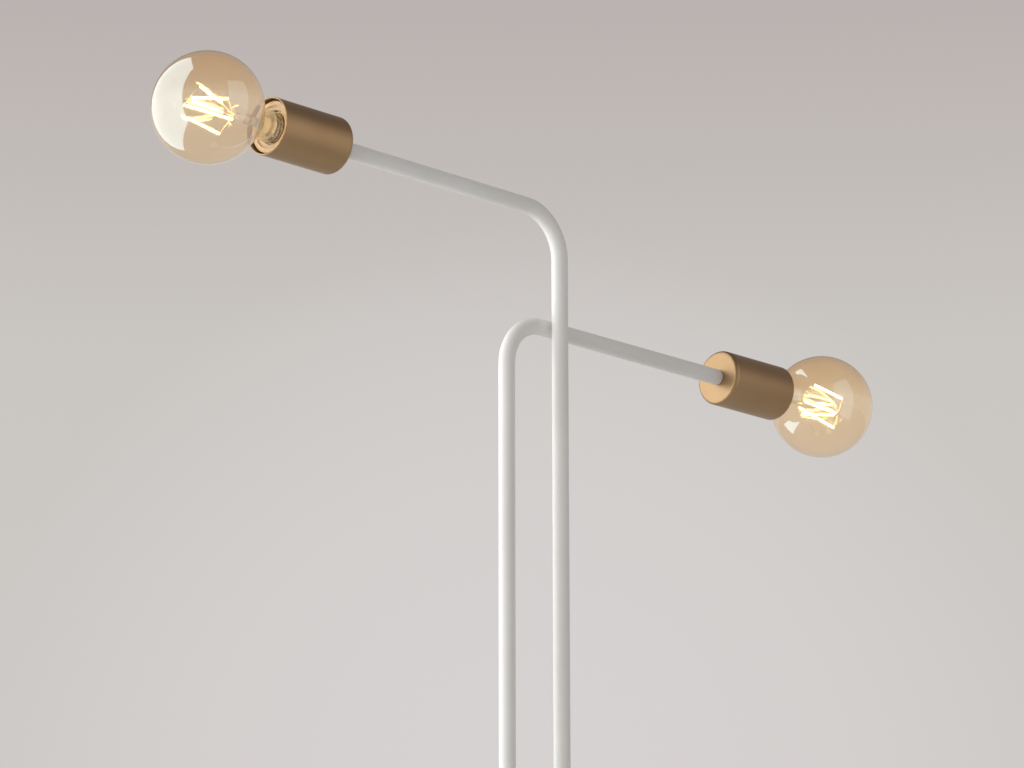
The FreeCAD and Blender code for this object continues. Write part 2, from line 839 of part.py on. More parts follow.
def pole(side):
    name = side.name
    tube = ring(name + "_pole_tube", "tube_od / 2", "tube_bore / 2", "lower_tube_length")
    node(side.on_pole(tube, "base_height"))
    arm = bent_rod(name + "_arm_tube", ("0", "0"),
                   [("0", side.height + " - pole_joint_height", "bend_radius")],
                   ("arm_reach", side.height + " - pole_joint_height"),
                   ["tube_od / 2", "tube_bore / 2"])
    node(side.on_pole(arm, "pole_joint_height"))
    collar = turned(name + "_pole_collar", [
        ("tube_od / 2 + collar_play", "0"),
        ("collar_od / 2", "0"),
        ("collar_od / 2", "collar_height", "collar_round"),
        ("tube_od / 2 + collar_play", "collar_height"),
    ])
    shared["pole_collars"].append(side.on_pole(collar, "base_height"))
    bushes = [
        side.on_pole(thread_bush(name + "_foot_bush"), "base_height"),
        side.on_pole(thread_bush(name + "_joint_bush_low"), "pole_joint_height - bush_length"),
        side.on_pole(thread_bush(name + "_joint_bush_high"), "pole_joint_height"),
        side.on_arm(thread_bush(name + "_arm_bush"), "arm_reach - bush_length"),
    ]
    node(group(name + "_tube_bushes", bushes))
    foot = nipple(name + "_foot_nipple", "foot_nipple_top - foot_nipple_bottom")
    node(side.on_pole(foot, "foot_nipple_bottom"))
    stud = nipple(name + "_joint_stud", "2 * (bush_length - nipple_inset)")
    node(side.on_pole(stud, "pole_joint_height - bush_length + nipple_inset"))
    nut = hex_nut(name + "_foot_nut", "nut_across", "thread_bore / 2", "nut_thickness")
    shared["pole_foot_nuts"].append(side.on_pole(nut, "foot_nut_bottom"))
    washer = ring(name + "_foot_washer", "washer_od / 2", "thread_bore / 2",
                  "washer_thickness")
    shared["pole_foot_washers"].append(side.on_pole(washer, "web_bottom - washer_thickness"))
    lead_start = "pole_spacing / 2 - block_width / 2"
    lead = bent_rod(name + "_lead", (lead_start, "lead_floor_height"),
                    [("0", "lead_floor_height", "lead_base_bend"),
                     ("0", side.height, "bend_radius")],
                    ("arm_reach + terminal_start", side.height),
                    ["lead_od / 2"])
    node(side.on_pole(lead, "0"))


# ---- lampholder ----

def holder_cover(side):
    cover = turned(side.name + "_holder_cover", [
        ("nipple_od / 2 + cover_hole_play", "0"),
        ("cover_diameter / 2", "0", "cover_back_round"),
        ("cover_diameter / 2", "cover_length", "cover_lip_round"),
        ("cover_diameter / 2 - cover_wall", "cover_length"),
        ("cover_diameter / 2 - cover_wall", "cover_wall", "cover_back_round - cover_wall"),
        ("nipple_od / 2 + cover_hole_play", "cover_wall"),
    ])
    return side.in_cover(cover)


def holder_dome(side):
    """The lampholder's screw-on rear cap: a neck on the nipple, a cone and a skirt."""
    dome = turned(side.name + "_holder_dome", [
        ("thread_bore / 2", "0"),
        ("dome_neck_od / 2", "0"),
        ("dome_neck_od / 2", "dome_neck_length"),
        ("dome_radius", "dome_neck_length + dome_cone_length"),
        ("dome_radius", "dome_end - dome_start"),
        ("dome_radius - dome_wall", "dome_end - dome_start"),
        ("dome_radius - dome_wall", "dome_neck_length + dome_cone_length + dome_wall / 2"),
        ("thread_bore / 2", "dome_neck_length + dome_wall / 2"),
    ])
    return side.in_cover(dome, "dome_start")


def holder_body(side):
    """The lampholder's front shell, the pale ring inside the cover's mouth."""
    body = turned(side.name + "_holder_body", [
        ("socket_radius", "holder_back"),
        ("holder_radius", "holder_back"),
        ("holder_radius", "holder_front", "holder_front_round"),
        ("holder_recess_diameter / 2", "holder_front", "holder_front_round / 2"),
        ("holder_recess_diameter / 2", "holder_floor"),
        ("holder_mouth / 2", "holder_floor", "holder_front_round / 2"),
        ("holder_mouth / 2", "holder_floor - holder_front_wall"),
        ("holder_mouth / 2 + holder_front_wall / 4", "holder_floor - holder_front_wall"),
        ("holder_mouth / 2 + holder_front_wall / 4", "core_step"),
        ("socket_radius", "core_step"),
    ])
    return side.in_cover(body)


def holder_core(side):
    core = turned(side.name + "_holder_core", [
        ("0", "0"),
        ("dome_radius", "0"),
        ("dome_radius", "core_flange"),
        ("core_boss_diameter / 2", "core_flange"),
        ("core_boss_diameter / 2", "core_flange + core_boss"),
        ("0", "core_flange + core_boss"),
    ])
    return side.in_cover(core, "dome_end")


def holder_shell(side):
    """The threaded contact shell, rolled from thin sheet, with its base ring on the core."""
    shell = turned(side.name + "_holder_shell", [
        ("shell_base_hole / 2", "0"),
        ("shell_outer", "0"),
        ("shell_outer", "shell_length"),
        ("shell_radius", "shell_length"),
        ("shell_radius", "shell_sheet"),
        ("shell_base_hole / 2", "shell_sheet"),
    ])
    sketch = new_sketch(shell, "bead", "XZ_Plane")
    draw_outline(sketch, [
        ("shell_radius + shell_sheet / 2", "thread_start - shell_bead"),
        ("shell_outer + shell_bead", "thread_start"),
        ("shell_radius + shell_sheet / 2", "thread_start + shell_bead"),
    ])
    crest = revolve(shell, sketch)
    doc.recompute()
    pattern = shell.newObject("PartDesign::LinearPattern", shell.Name + "_crests")
    pattern.Originals = [crest]
    pattern.Direction = (origin_feature(shell, "Z_Axis"), [""])
    pattern.setExpression("Length", linked("thread_pitch * (thread_turns - 1)"))
    pattern.setExpression("Occurrences", linked("thread_turns"))
    shell.Tip = pattern
    return side.in_cover(shell, "core_front")


def holder_contact(side):
    """The springy centre contact: a strip that rises from the core to the bulb's tip."""
    rise = "bulb_tip_place - core_front - contact_gap"

    def outline(sketch):
        draw_outline(sketch, [
            ("0.5", "0"),
            ("contact_reach", "0"),
            ("contact_reach", "contact_sheet"),
            ("contact_reach - 2", "contact_sheet"),
            ("contact_reach - 0.5", rise + " - 2 * contact_sheet"),
            ("contact_reach - 2", rise),
            ("0.5", rise),
            ("0.5", rise + " - contact_sheet"),
            ("contact_reach - 2.4", rise + " - contact_sheet"),
            ("contact_reach - 1.3", rise + " - 2 * contact_sheet"),
            ("contact_reach - 2.8", "contact_sheet"),
            ("0.5", "contact_sheet"),
        ])
    strip = padded(side.name + "_holder_contact", "XZ_Plane", outline, "contact_width", True)
    return side.in_cover(strip, "core_front")


def holder_terminals(side):
    """Two brass terminal blocks on the back of the core."""
    blocks = []
    for index, hand in enumerate((-1, 1)):
        block = doc.addObject("Part::Box", side.name + "_terminal_box")
        block.setExpression("Length", linked("terminal_width"))
        block.setExpression("Width", linked("terminal_depth"))
        block.setExpression("Height", linked("terminal_height"))
        near = "terminal_split / 2" if hand > 0 else "-terminal_split / 2 - terminal_depth"
        set_place(block, "-terminal_width / 2", near, "terminal_start", UP)
        bore = terminal_bore(side, hand, "terminal_screw_diameter / 2 + thread_play")
        cut = doc.addObject("Part::Cut", "%s_terminal_%d" % (side.name, index))
        cut.Base = block
        cut.Tool = bore
        blocks.append(cut)
    joined = group(side.name + "_holder_terminals", blocks)
    return side.in_cover(joined)


def terminal_bore(side, hand, radius):
    """The screw's bore, running in from a terminal's outer face."""
    bore = doc.addObject("Part::Cylinder", side.name + "_terminal_bore")
    bore.setExpression("Radius", linked(radius))
    bore.setExpression("Height", linked("terminal_depth / 2"))
    bore_start = "terminal_split / 2 + terminal_depth"
    set_place(bore, "0", "%d * (%s)" % (hand, bore_start),
              "terminal_start + terminal_height / 2", Rotation(Vector(1, 0, 0), 90 * hand))
    return bore


def terminal_screws(side):
    screws = []
    for index, hand in enumerate((-1, 1)):
        screw = turned("%s_terminal_screw_%d" % (side.name, index), [
            ("0", "0"),
            ("terminal_screw_diameter / 2", "0"),
            ("terminal_screw_diameter / 2", "terminal_depth / 2 - thread_play"),
            ("terminal_screw_head / 2", "terminal_depth / 2 - thread_play"),
            ("terminal_screw_head / 2",
             "terminal_depth / 2 - thread_play + terminal_head_height"),
            ("0", "terminal_depth / 2 - thread_play + terminal_head_height"),
        ])
        start = "terminal_split / 2 + terminal_depth / 2 + 2 * thread_play"
        set_place(screw, "0", "%d * (%s)" % (hand, start),
                  "terminal_start + terminal_height / 2", Rotation(Vector(1, 0, 0), -90 * hand))
        screws.append(screw)
    joined = group(side.name + "_terminal_screws", screws)
    return side.in_cover(joined)


def lampholder(side):
    node(holder_cover(side))
    holder_nipple = nipple(side.name + "_holder_nipple",
                           "holder_nipple_front + bush_length - nipple_inset")
    node(side.in_cover(holder_nipple, "nipple_inset - bush_length"))
    nut = hex_nut(side.name + "_holder_nut", "nut_across", "thread_bore / 2",
                  "nut_thickness")
    shared["holder_nuts"].append(side.in_cover(nut, "cover_wall"))
    node(holder_dome(side))
    node(holder_body(side))
    node(holder_core(side))
    node(holder_shell(side))
    node(holder_contact(side))
    node(holder_terminals(side))
    node(terminal_screws(side))


# ---- bulb ----

def bulb_glass(side):
    """The globe: an arc that meets the neck through a hollow blend."""
    glass = new_body(side.name + "_bulb_glass")
    outer = new_sketch(glass, "outside", "XZ_Plane")
    draw_globe(outer, "0", "neck_start")
    revolve(glass, outer)
    doc.recompute()
    volume = glass.Shape.Volume
    inner = new_sketch(glass, "inside", "XZ_Plane")
    draw_globe(inner, "glass_wall", "neck_start")
    revolve(glass, inner, "PartDesign::Groove")
    doc.recompute()
    if glass.Shape.Volume >= volume:
        raise ValueError("the globe is not hollow")
    return side.in_bulb(glass)


def draw_globe(sketch, skin, start):
    """Neck, blend and globe, with every surface moved in by skin."""
    globe = "(globe_radius - %s)" % skin
    blend = "(neck_blend + %s)" % skin
    neck = "(neck_diameter / 2 - %s)" % skin
    centres = "(globe_radius + neck_blend)"
    blend_across = "(neck_diameter / 2 + neck_blend)"
    blend_along = "sqrt(%s ^ 2 - %s ^ 2)" % (centres, blend_across)
    neck_end = "globe_centre - %s" % blend_along
    meet_across = "%s * %s / %s" % (blend_across, globe, centres)
    meet_along = "globe_centre - %s * %s / %s" % (blend_along, globe, centres)
    draw_outline(sketch, [
        ("0", start),
        (neck, start),
        (neck, neck_end),
        (meet_across, meet_along),
        (globe, "globe_centre"),
        ("0", "globe_centre + %s" % globe),
    ], {2: (blend, -1), 3: (globe, 1), 4: (globe, 1)})


def bulb_cap(side):
    """The bulb's screw cap: thin sheet with rolled crests and a collar round the neck."""
    cap = turned(side.name + "_bulb_cap", [
        ("cap_crimp / 2", "insulator_top"),
        ("cap_crimp / 2 + cap_sheet", "insulator_top - cap_sheet"),
        ("cap_root", "insulator_top + 1"),
        ("cap_root", "cap_collar_start - 1.4"),
        ("cap_collar / 2", "cap_collar_start"),
        ("cap_collar / 2", "cap_height"),
        ("cap_collar / 2 - cap_sheet", "cap_height"),
        ("cap_collar / 2 - cap_sheet", "cap_collar_start + cap_sheet / 2"),
        ("cap_root - cap_sheet", "cap_collar_start - 1.4 + cap_sheet / 2"),
        ("cap_root - cap_sheet", "insulator_top + 1 + cap_sheet / 2"),
    ])
    beads(cap, "cap_root", "thread_start", "cap_bead", "thread_pitch", "thread_turns")

    def bore(sketch):
        draw_outline(sketch, [
            ("0", "insulator_top + 1 + cap_sheet / 2"),
            ("cap_root - cap_sheet", "insulator_top + 1 + cap_sheet / 2"),
            ("cap_root - cap_sheet", "cap_collar_start - 1.4 + cap_sheet / 2"),
            ("0", "cap_collar_start - 1.4 + cap_sheet / 2"),
        ])
    sketch = new_sketch(cap, "bore", "XZ_Plane")
    bore(sketch)
    cap.Tip = revolve(cap, sketch, "PartDesign::Groove")
    return side.in_bulb(cap)


def bulb_insulator(side):
    insulator = turned(side.name + "_bulb_insulator", [
        ("tip_rivet / 2 + thread_play", "tip_thickness + contact_gap"),
        ("insulator_foot / 2", "tip_thickness + contact_gap"),
        ("cap_crimp / 2", "insulator_top - cap_sheet"),
        ("cap_crimp / 2", "insulator_top"),
        ("tip_rivet / 2 + thread_play", "insulator_top"),
    ])
    return side.in_bulb(insulator)


def bulb_tip(side):
    """The contact button with its rivet."""
    tip = turned(side.name + "_bulb_tip", [
        ("0", "0"),
        ("tip_diameter / 2", "0", "tip_thickness / 2"),
        ("tip_diameter / 2", "tip_thickness"),
        ("tip_rivet / 2", "tip_thickness"),
        ("tip_rivet / 2", "tip_thickness + tip_rivet_length"),
        ("0", "tip_thickness + tip_rivet_length"),
    ])
    return side.in_bulb(tip)


def bulb_driver(side):
    """The small circuit board inside the cap, with its capacitor."""
    board = doc.addObject("Part::Box", side.name + "_driver_board")
    board.setExpression("Length", linked("driver_width"))
    board.setExpression("Width", linked("driver_board"))
    board.setExpression("Height", linked("driver_height"))
    set_place(board, "-driver_width / 2", "-driver_board / 2", "insulator_top + contact_gap",
              UP)
    can = doc.addObject("Part::Cylinder", side.name + "_driver_capacitor")
    can.setExpression("Radius", linked("driver_part / 2"))
    can.setExpression("Height", linked("driver_height / 2"))
    set_place(can, "0", "driver_part / 2", "insulator_top + contact_gap + driver_height / 4",
              UP)
    joined = doc.addObject("Part::Fuse", side.name + "_bulb_driver")
    joined.Label = side.name + "_bulb_driver"
    joined.Base = board
    joined.Tool = can
    return side.in_bulb(joined)


def bulb_stem(side):
    stem = turned(side.name + "_bulb_stem", [
        ("0", "stem_press_start"),
        ("stem_diameter / 2 - stem_wall", "stem_press_start - 4"),
        ("stem_diameter / 2 - stem_wall", "stem_neck_start"),
        ("stem_flare / 2 - stem_wall", "stem_start"),
        ("stem_flare / 2", "stem_start"),
        ("stem_diameter / 2", "stem_neck_start + stem_wall"),
        ("stem_diameter / 2", "stem_press_start"),
        ("stem_tip / 2", "stem_top"),
        ("0", "stem_top"),
    ])
    return side.in_bulb(stem)


def bulb_turn(side):
    return Rotation(Vector(0, 0, 1), number(side.name + "_bulb_turn"))


def filament_ends(side):
    """Near and far end of each filament, in the bulb's own frame."""
    turn = bulb_turn(side)
    ends = []
    for near, far in CAGE:
        low = turn.multVec(Vector(near[0], near[1], number("filament_start")))
        high = turn.multVec(Vector(far[0], far[1], number("filament_end")))
        ends.append((low, high))
    return ends


def bulb_filaments(side):
    rods = [rod_between(side.name + "_filament", low, high, "filament_diameter")
            for low, high in filament_ends(side)]
    return side.in_bulb(group(side.name + "_bulb_filaments", rods))


def spider(name, heart, centre, ends):
    """Wires from the piece at the centre to the filaments' ends, as one solid."""
    legs = []
    for end in ends:
        outward = end - centre
        outward.normalize()
        legs.append(rod_between(name + "_wire", centre + outward * number("wire_root"), end,
                                "wire_diameter"))
    joined = doc.addObject("Part::MultiFuse", name)
    joined.Shapes = [heart] + legs
    return joined


def bulb_wires(side):
    """Support wires: a star at the stem's top and another from the far hub."""
    gap = number("wire_gap")
    near, far = [], []
    for low, high in filament_ends(side):
        outward = high - low
        outward.normalize()
        near.append(low - outward * gap)
        far.append(high + outward * gap)
    root = doc.addObject("Part::Cylinder", side.name + "_wire_root")
    root.setExpression("Radius", linked("stem_tip / 2"))
    root.setExpression("Height", linked("2 * wire_gap"))
    set_place(root, "0", "0", "stem_top", UP)
    bead = doc.addObject("Part::Sphere", side.name + "_wire_hub")
    bead.setExpression("Radius", linked("wire_hub_diameter / 2"))
    set_place(bead, "0", "0", "wire_hub", bulb_turn(side))   # its seam clears the wires
    star = spider(side.name + "_star", root, Vector(0, 0, number("stem_top") + gap), near)
    hub = spider(side.name + "_hub", bead, Vector(0, 0, number("wire_hub")), far)
    return side.in_bulb(group(side.name + "_bulb_wires", [star, hub]))


def bulb(side):
    node(bulb_glass(side))
    node(bulb_cap(side))
    node(bulb_insulator(side))
    node(bulb_tip(side))
    node(bulb_driver(side))
    node(bulb_stem(side))
    node(bulb_filaments(side))
    node(bulb_wires(side))


def build():
    node(base_pad())
    node(base_plate())
    node(plate_screws())
    node(base_weight())
    node(base_cover())
    node(cord_gland())
    node(cord_gland_nut())
    node(terminal_block())
    node(terminal_block_screws())
    for side in SIDES:
        pole(side)
        lampholder(side)
        bulb(side)
    for label, members in shared.items():
        node(group(label, members))


def check():
    """Stop before anything is written if a feature failed or a solid is not sound."""
    faults = []
    for item in doc.Objects:
        if "Invalid" in item.State or "Error" in item.State:
            faults.append("%s: %s" % (item.Label, item.State))
    for piece in nodes:
        shape = piece.Shape
        if shape.isNull() or not shape.isValid() or not shape.Solids:
            faults.append("%s: no sound solid" % piece.Label)
    if faults:
        raise ValueError("\n".join(faults))


def export():
    os.makedirs("parts", exist_ok=True)
    for piece in nodes:
        piece.Shape.exportStep("parts/%s.step" % piece.Label)
    print("%d nodes" % len(nodes))


doc = FreeCAD.newDocument("TwoArmFloorLamp")
nodes = []
shared = {"pole_collars": [], "pole_foot_nuts": [], "pole_foot_washers": [], "holder_nuts": []}
sizes_sheet = fill_sheet("Sizes", [(name, str(value)) for name, value in SIZES.items()])
places_sheet = fill_sheet("Places", [(name, "=" + linked(text).replace("Places.", ""))
                                     for name, text in PLACES.items()])
doc.recompute()
build()
doc.recompute()
check()
export()
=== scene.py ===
import json
import math

import bmesh
import bpy
from mathutils import Matrix, Vector


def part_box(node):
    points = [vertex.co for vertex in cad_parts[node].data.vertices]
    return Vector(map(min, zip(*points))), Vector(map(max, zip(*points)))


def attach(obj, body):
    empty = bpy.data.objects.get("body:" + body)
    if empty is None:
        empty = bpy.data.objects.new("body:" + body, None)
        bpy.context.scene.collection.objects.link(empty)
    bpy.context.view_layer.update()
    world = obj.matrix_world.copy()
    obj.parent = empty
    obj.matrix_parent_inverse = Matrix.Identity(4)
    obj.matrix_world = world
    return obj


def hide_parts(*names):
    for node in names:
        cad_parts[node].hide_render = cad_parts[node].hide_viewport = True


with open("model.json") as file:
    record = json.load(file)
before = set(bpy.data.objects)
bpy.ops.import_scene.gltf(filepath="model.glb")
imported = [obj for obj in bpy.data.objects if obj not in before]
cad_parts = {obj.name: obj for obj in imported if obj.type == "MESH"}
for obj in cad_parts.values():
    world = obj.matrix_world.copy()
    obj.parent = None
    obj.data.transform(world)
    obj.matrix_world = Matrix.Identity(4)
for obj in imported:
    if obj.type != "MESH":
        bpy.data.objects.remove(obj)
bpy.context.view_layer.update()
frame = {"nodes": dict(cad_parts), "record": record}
nodes = frame["nodes"]
print("frame loaded with", len(nodes), "nodes")

mm = 0.001
up = Vector((0, 0, 1))
origin = Vector((0, 0, 0))


# finishes

class Wire:
    # a node's socket that can stand in a sum
    def __init__(self, tree, socket=None):
        self.tree = tree
        self.socket = socket

    def node(self, kind, settings=None, inputs=None, output=0):
        made = self.tree.nodes.new("ShaderNode" + kind)
        for key, value in (settings or {}).items():
            if key == "stops":
                band = made.color_ramp
                while len(band.elements) < len(value):
                    band.elements.new(0.5)
                for element, (place, colour) in zip(band.elements, value):
                    element.position = place
                    element.color = (*colour, 1)
            else:
                setattr(made, key, value)
        for key, value in (inputs or {}).items():
            if isinstance(value, Wire):
                self.tree.links.new(value.socket, made.inputs[key])
            else:
                made.inputs[key].default_value = value
        return Wire(self.tree, made.outputs[output])

    def sum(self, operation, first, second=0.0):
        return self.node("Math", {"operation": operation}, {0: first, 1: second})

    def __add__(self, other):
        return self.sum("ADD", self, other)

    def __sub__(self, other):
        return self.sum("SUBTRACT", self, other)

    def __rsub__(self, other):
        return self.sum("SUBTRACT", other, self)

    def __mul__(self, other):
        return self.sum("MULTIPLY", self, other)

    def __pow__(self, other):
        return self.sum("POWER", self, other)

    __radd__ = __add__
    __rmul__ = __mul__

    def within(self, low, high):  # 0 at low, 1 at high, held there
        return self.node("MapRange", {"clamp": True},
                         {"Value": self, "From Min": low, "From Max": high})

    def noise(self, scale, detail=2.0, roughness=0.5):
        return self.node("TexNoise", None, {"Vector": self, "Scale": scale, "Detail": detail,
                                            "Roughness": roughness})

    def cells(self, scale):
        return self.node("TexVoronoi", None, {"Vector": self, "Scale": scale})

    def blend(self, first, second):  # self is the share of the second colour
        return self.node("Mix", {"data_type": "RGBA"},
                         {0: self, 6: first, 7: second}, output=2)

    def part(self, axis):  # one coordinate of a place
        return self.node("SeparateXYZ", None, {0: self}, output="XYZ".index(axis))

    def bump(self, strength, distance, normal=None):
        feeds = {"Height": self, "Strength": strength, "Distance": distance}
        if normal:
            feeds["Normal"] = normal
        return self.node("Bump", None, feeds)


def rgba(colour):
    return (*colour, 1)


def newFinish(name, paint, **sockets):
    # paint gets the place on the object and returns what feeds the shader's sockets
    material = bpy.data.materials.new(name)
    material.use_nodes = True
    tree = material.node_tree
    shader = tree.nodes["Principled BSDF"]
    place = Wire(tree).node("TexCoord", output=3)
    for key, value in {**sockets, **paint(place)}.items():
        key = key.replace("_", " ")
        if isinstance(value, Wire):
            tree.links.new(value.socket, shader.inputs[key])
        else:
            shader.inputs[key].default_value = rgba(value) if isinstance(value, tuple) else value
    return material


satin = {
    "colour": (0.84, 0.83, 0.81),
    "dull": (0.79, 0.775, 0.75),
    "gloss": 0.46,
    "peel": 420.0,       # cells of the orange peel per metre
    "peelDepth": 0.00005,
}


def paintSatin(place):
    drift = place.noise(9, 3)
    peel = place.noise(satin["peel"], 2)
    grain = place.noise(2600, 1)
    return {
        "Base_Color": drift.within(0.35, 0.7).blend(rgba(satin["colour"]), rgba(satin["dull"])),
        "Roughness": satin["gloss"] + 0.1 * place.noise(60, 3) - 0.03,
        "Normal": grain.bump(0.12, 0.00002, peel.bump(0.35, satin["peelDepth"])),
    }


baseCoat = {
    "colour": (0.82, 0.805, 0.775),
    "dusty": (0.77, 0.75, 0.71),
    "scuff": (0.60, 0.58, 0.54),
    "scuffTop": 0.012,      # scuffs fade out at this height
    "scuffFull": 0.003,
    "scuffShare": 0.6,
}


def paintBase(place):
    height = place.part("Z")
    low = height.within(baseCoat["scuffTop"], baseCoat["scuffFull"])
    wear = place.noise(55, 5, 0.65).within(0.56, 0.72) * low
    dust = place.noise(14, 4).within(0.45, 0.75)
    coat = dust.blend(rgba(baseCoat["colour"]), rgba(baseCoat["dusty"]))
    return {
        "Base_Color": (wear * baseCoat["scuffShare"]).blend(coat, rgba(baseCoat["scuff"])),
        "Roughness": 0.42 + 0.12 * place.noise(40, 3) - 0.04,
        "Normal": place.noise(900, 2).bump(0.4, 0.00006),
    }


bronze = {
    "colour": (0.41, 0.268, 0.14),
    "deep": (0.355, 0.227, 0.114),
    "flake": 3200.0,
    "gloss": 0.37,
}


def paintBronze(place):
    flake = place.cells(bronze["flake"])
    drift = place.noise(26, 4)
    tone = drift.within(0.3, 0.7) * 0.7 + 0.3 * flake.within(0.1, 0.6)
    return {
        "Base_Color": tone.blend(rgba(bronze["colour"]), rgba(bronze["deep"])),
        "Roughness": bronze["gloss"] + 0.08 * place.noise(120, 3) - 0.03,
        "Normal": flake.bump(0.14, 0.00002, place.noise(700, 2).bump(0.2, 0.00004)),
    }


def paintMetal(colour, dark, gloss, scale):  # turned or drawn metal with a fine grain
    def paint(place):
        stain = place.noise(scale, 5, 0.6)
        return {
            "Base_Color": stain.within(0.4, 0.75).blend(rgba(colour), rgba(dark)),
            "Roughness": gloss + 0.2 * place.noise(scale * 4, 3) - 0.08,
            "Normal": place.noise(scale * 14, 2).bump(0.18, 0.00004),
        }
    return paint


def paintPlastic(colour, shade, gloss, grain=1500.0):
    def paint(place):
        return {
            "Base_Color": place.noise(45, 4).within(0.3, 0.75).blend(rgba(colour), rgba(shade)),
            "Roughness": gloss + 0.12 * place.noise(260, 2) - 0.05,
            "Normal": place.noise(grain, 2).bump(0.25, 0.00004),
        }
    return paint


glass = {
    "amber": (1.0, 0.86, 0.68),
    "amberDeep": (1.0, 0.82, 0.61),
    "edge": (0.66, 0.55, 0.44),     # painted shade at the silhouette, partly the wall seen along its own thickness
    "edgeSharpness": 12.0,
    "mirror": (0.62, 0.92, 1.0),    # the coat that lets amber through throws blue back
    "mirrorDeep": (0.60, 0.90, 0.99),
    "mirrorGloss": 0.05,
    "outsideShare": 0.21,
    "insideShare": 0.09,
    "haze": 0.05,                   # share of light that the coat scatters
    "hazeTint": (1.0, 0.70, 0.38),
    "hazeDeep": (0.99, 0.64, 0.32),
    "hazeSpread": 0.2,
    "bends": 1.45,
    "lit": (1.0, 0.66, 0.34),       # painted glow: the glass itself emits this amber light, standing in for the filaments' light scattered in it
    "paintedGlowStrength": 0.042,
}


# painted glow: the glass emits faint amber light though it is no lamp
glassWithPaintedGlow = {"Transmission_Weight": 1.0, "IOR": glass["bends"], "Emission_Color": glass["lit"],
            "Emission_Strength": glass["paintedGlowStrength"]}


def paintAmber(place):
    cloud = place.noise(18, 3).within(0.3, 0.7)
    tint = cloud.blend(rgba(glass["amber"]), rgba(glass["amberDeep"]))
    # painted shade: the glass's colour darkens toward its silhouette, partly the longer path
    # through the tinted wall
    rim = place.node("LayerWeight", None, {"Blend": 0.5}, output=1) ** glass["edgeSharpness"]
    return {
        "Base_Color": rim.blend(tint, rgba(glass["edge"])),
        "Roughness": 0.004 + 0.012 * place.noise(70, 3),
        "Normal": place.noise(28, 2).bump(0.05, 0.0006),
    }


def coatGlass(material, share):  # adds the haze, and the mirror coat for light from outside
    tree = material.node_tree
    clear = tree.nodes["Principled BSDF"]
    place = Wire(tree).node("TexCoord", output=3)
    milk = place.node("BsdfPrincipled", None, {
        "Base Color": place.noise(30, 2).blend(rgba(glass["hazeTint"]), rgba(glass["hazeDeep"])),
        "Roughness": glass["hazeSpread"], "IOR": glass["bends"], "Transmission Weight": 1.0})
    film = place.node("BsdfPrincipled", None, {
        "Base Color": place.noise(24, 2).blend(rgba(glass["mirror"]), rgba(glass["mirrorDeep"])),
        "Roughness": glass["mirrorGloss"], "Metallic": 1.0})
    inside = place.node("NewGeometry", output=6)
    both = place.node("MixShader", None, {0: glass["haze"], 1: Wire(tree, clear.outputs[0]),
                                          2: milk})
    whole = place.node("MixShader", None, {0: share * (1 - inside), 1: both, 2: film})
    tree.links.new(whole.socket, tree.nodes["Material Output"].inputs["Surface"])
    return material


def paintClear(place):
    return {
        "Base_Color": place.noise(90, 3).blend((0.97, 0.96, 0.94, 1), (0.93, 0.90, 0.84, 1)),
        "Roughness": 0.01 + 0.03 * place.noise(160, 2),
        "Normal": place.noise(120, 2).bump(0.1, 0.0003),
    }


glow = {
    "coat": (0.95, 0.72, 0.22),
    "coatDeep": (0.85, 0.58, 0.14),
    "near": (1.0, 0.66, 0.25),
    "far": (1.0, 0.80, 0.45),
    "strength": 24.0,
}


def paintGlow(place):
    speck = place.noise(1300, 2)
    return {
        "Base_Color": speck.blend(rgba(glow["coat"]), rgba(glow["coatDeep"])),
        "Emission_Color": speck.within(0.2, 0.8).blend(rgba(glow["near"]), rgba(glow["far"])),
        "Normal": speck.bump(0.3, 0.0001),
    }


def paintBoard(place):
    weave = place.node("TexWave", None, {"Vector": place, "Scale": 500.0, "Distortion": 0.6})
    return {
        "Base_Color": weave.within(0.2, 0.8).blend((0.72, 0.70, 0.62, 1), (0.60, 0.60, 0.52, 1)),
        "Roughness": 0.45 + 0.1 * place.noise(300),
        "Normal": weave.bump(0.2, 0.00005),
    }


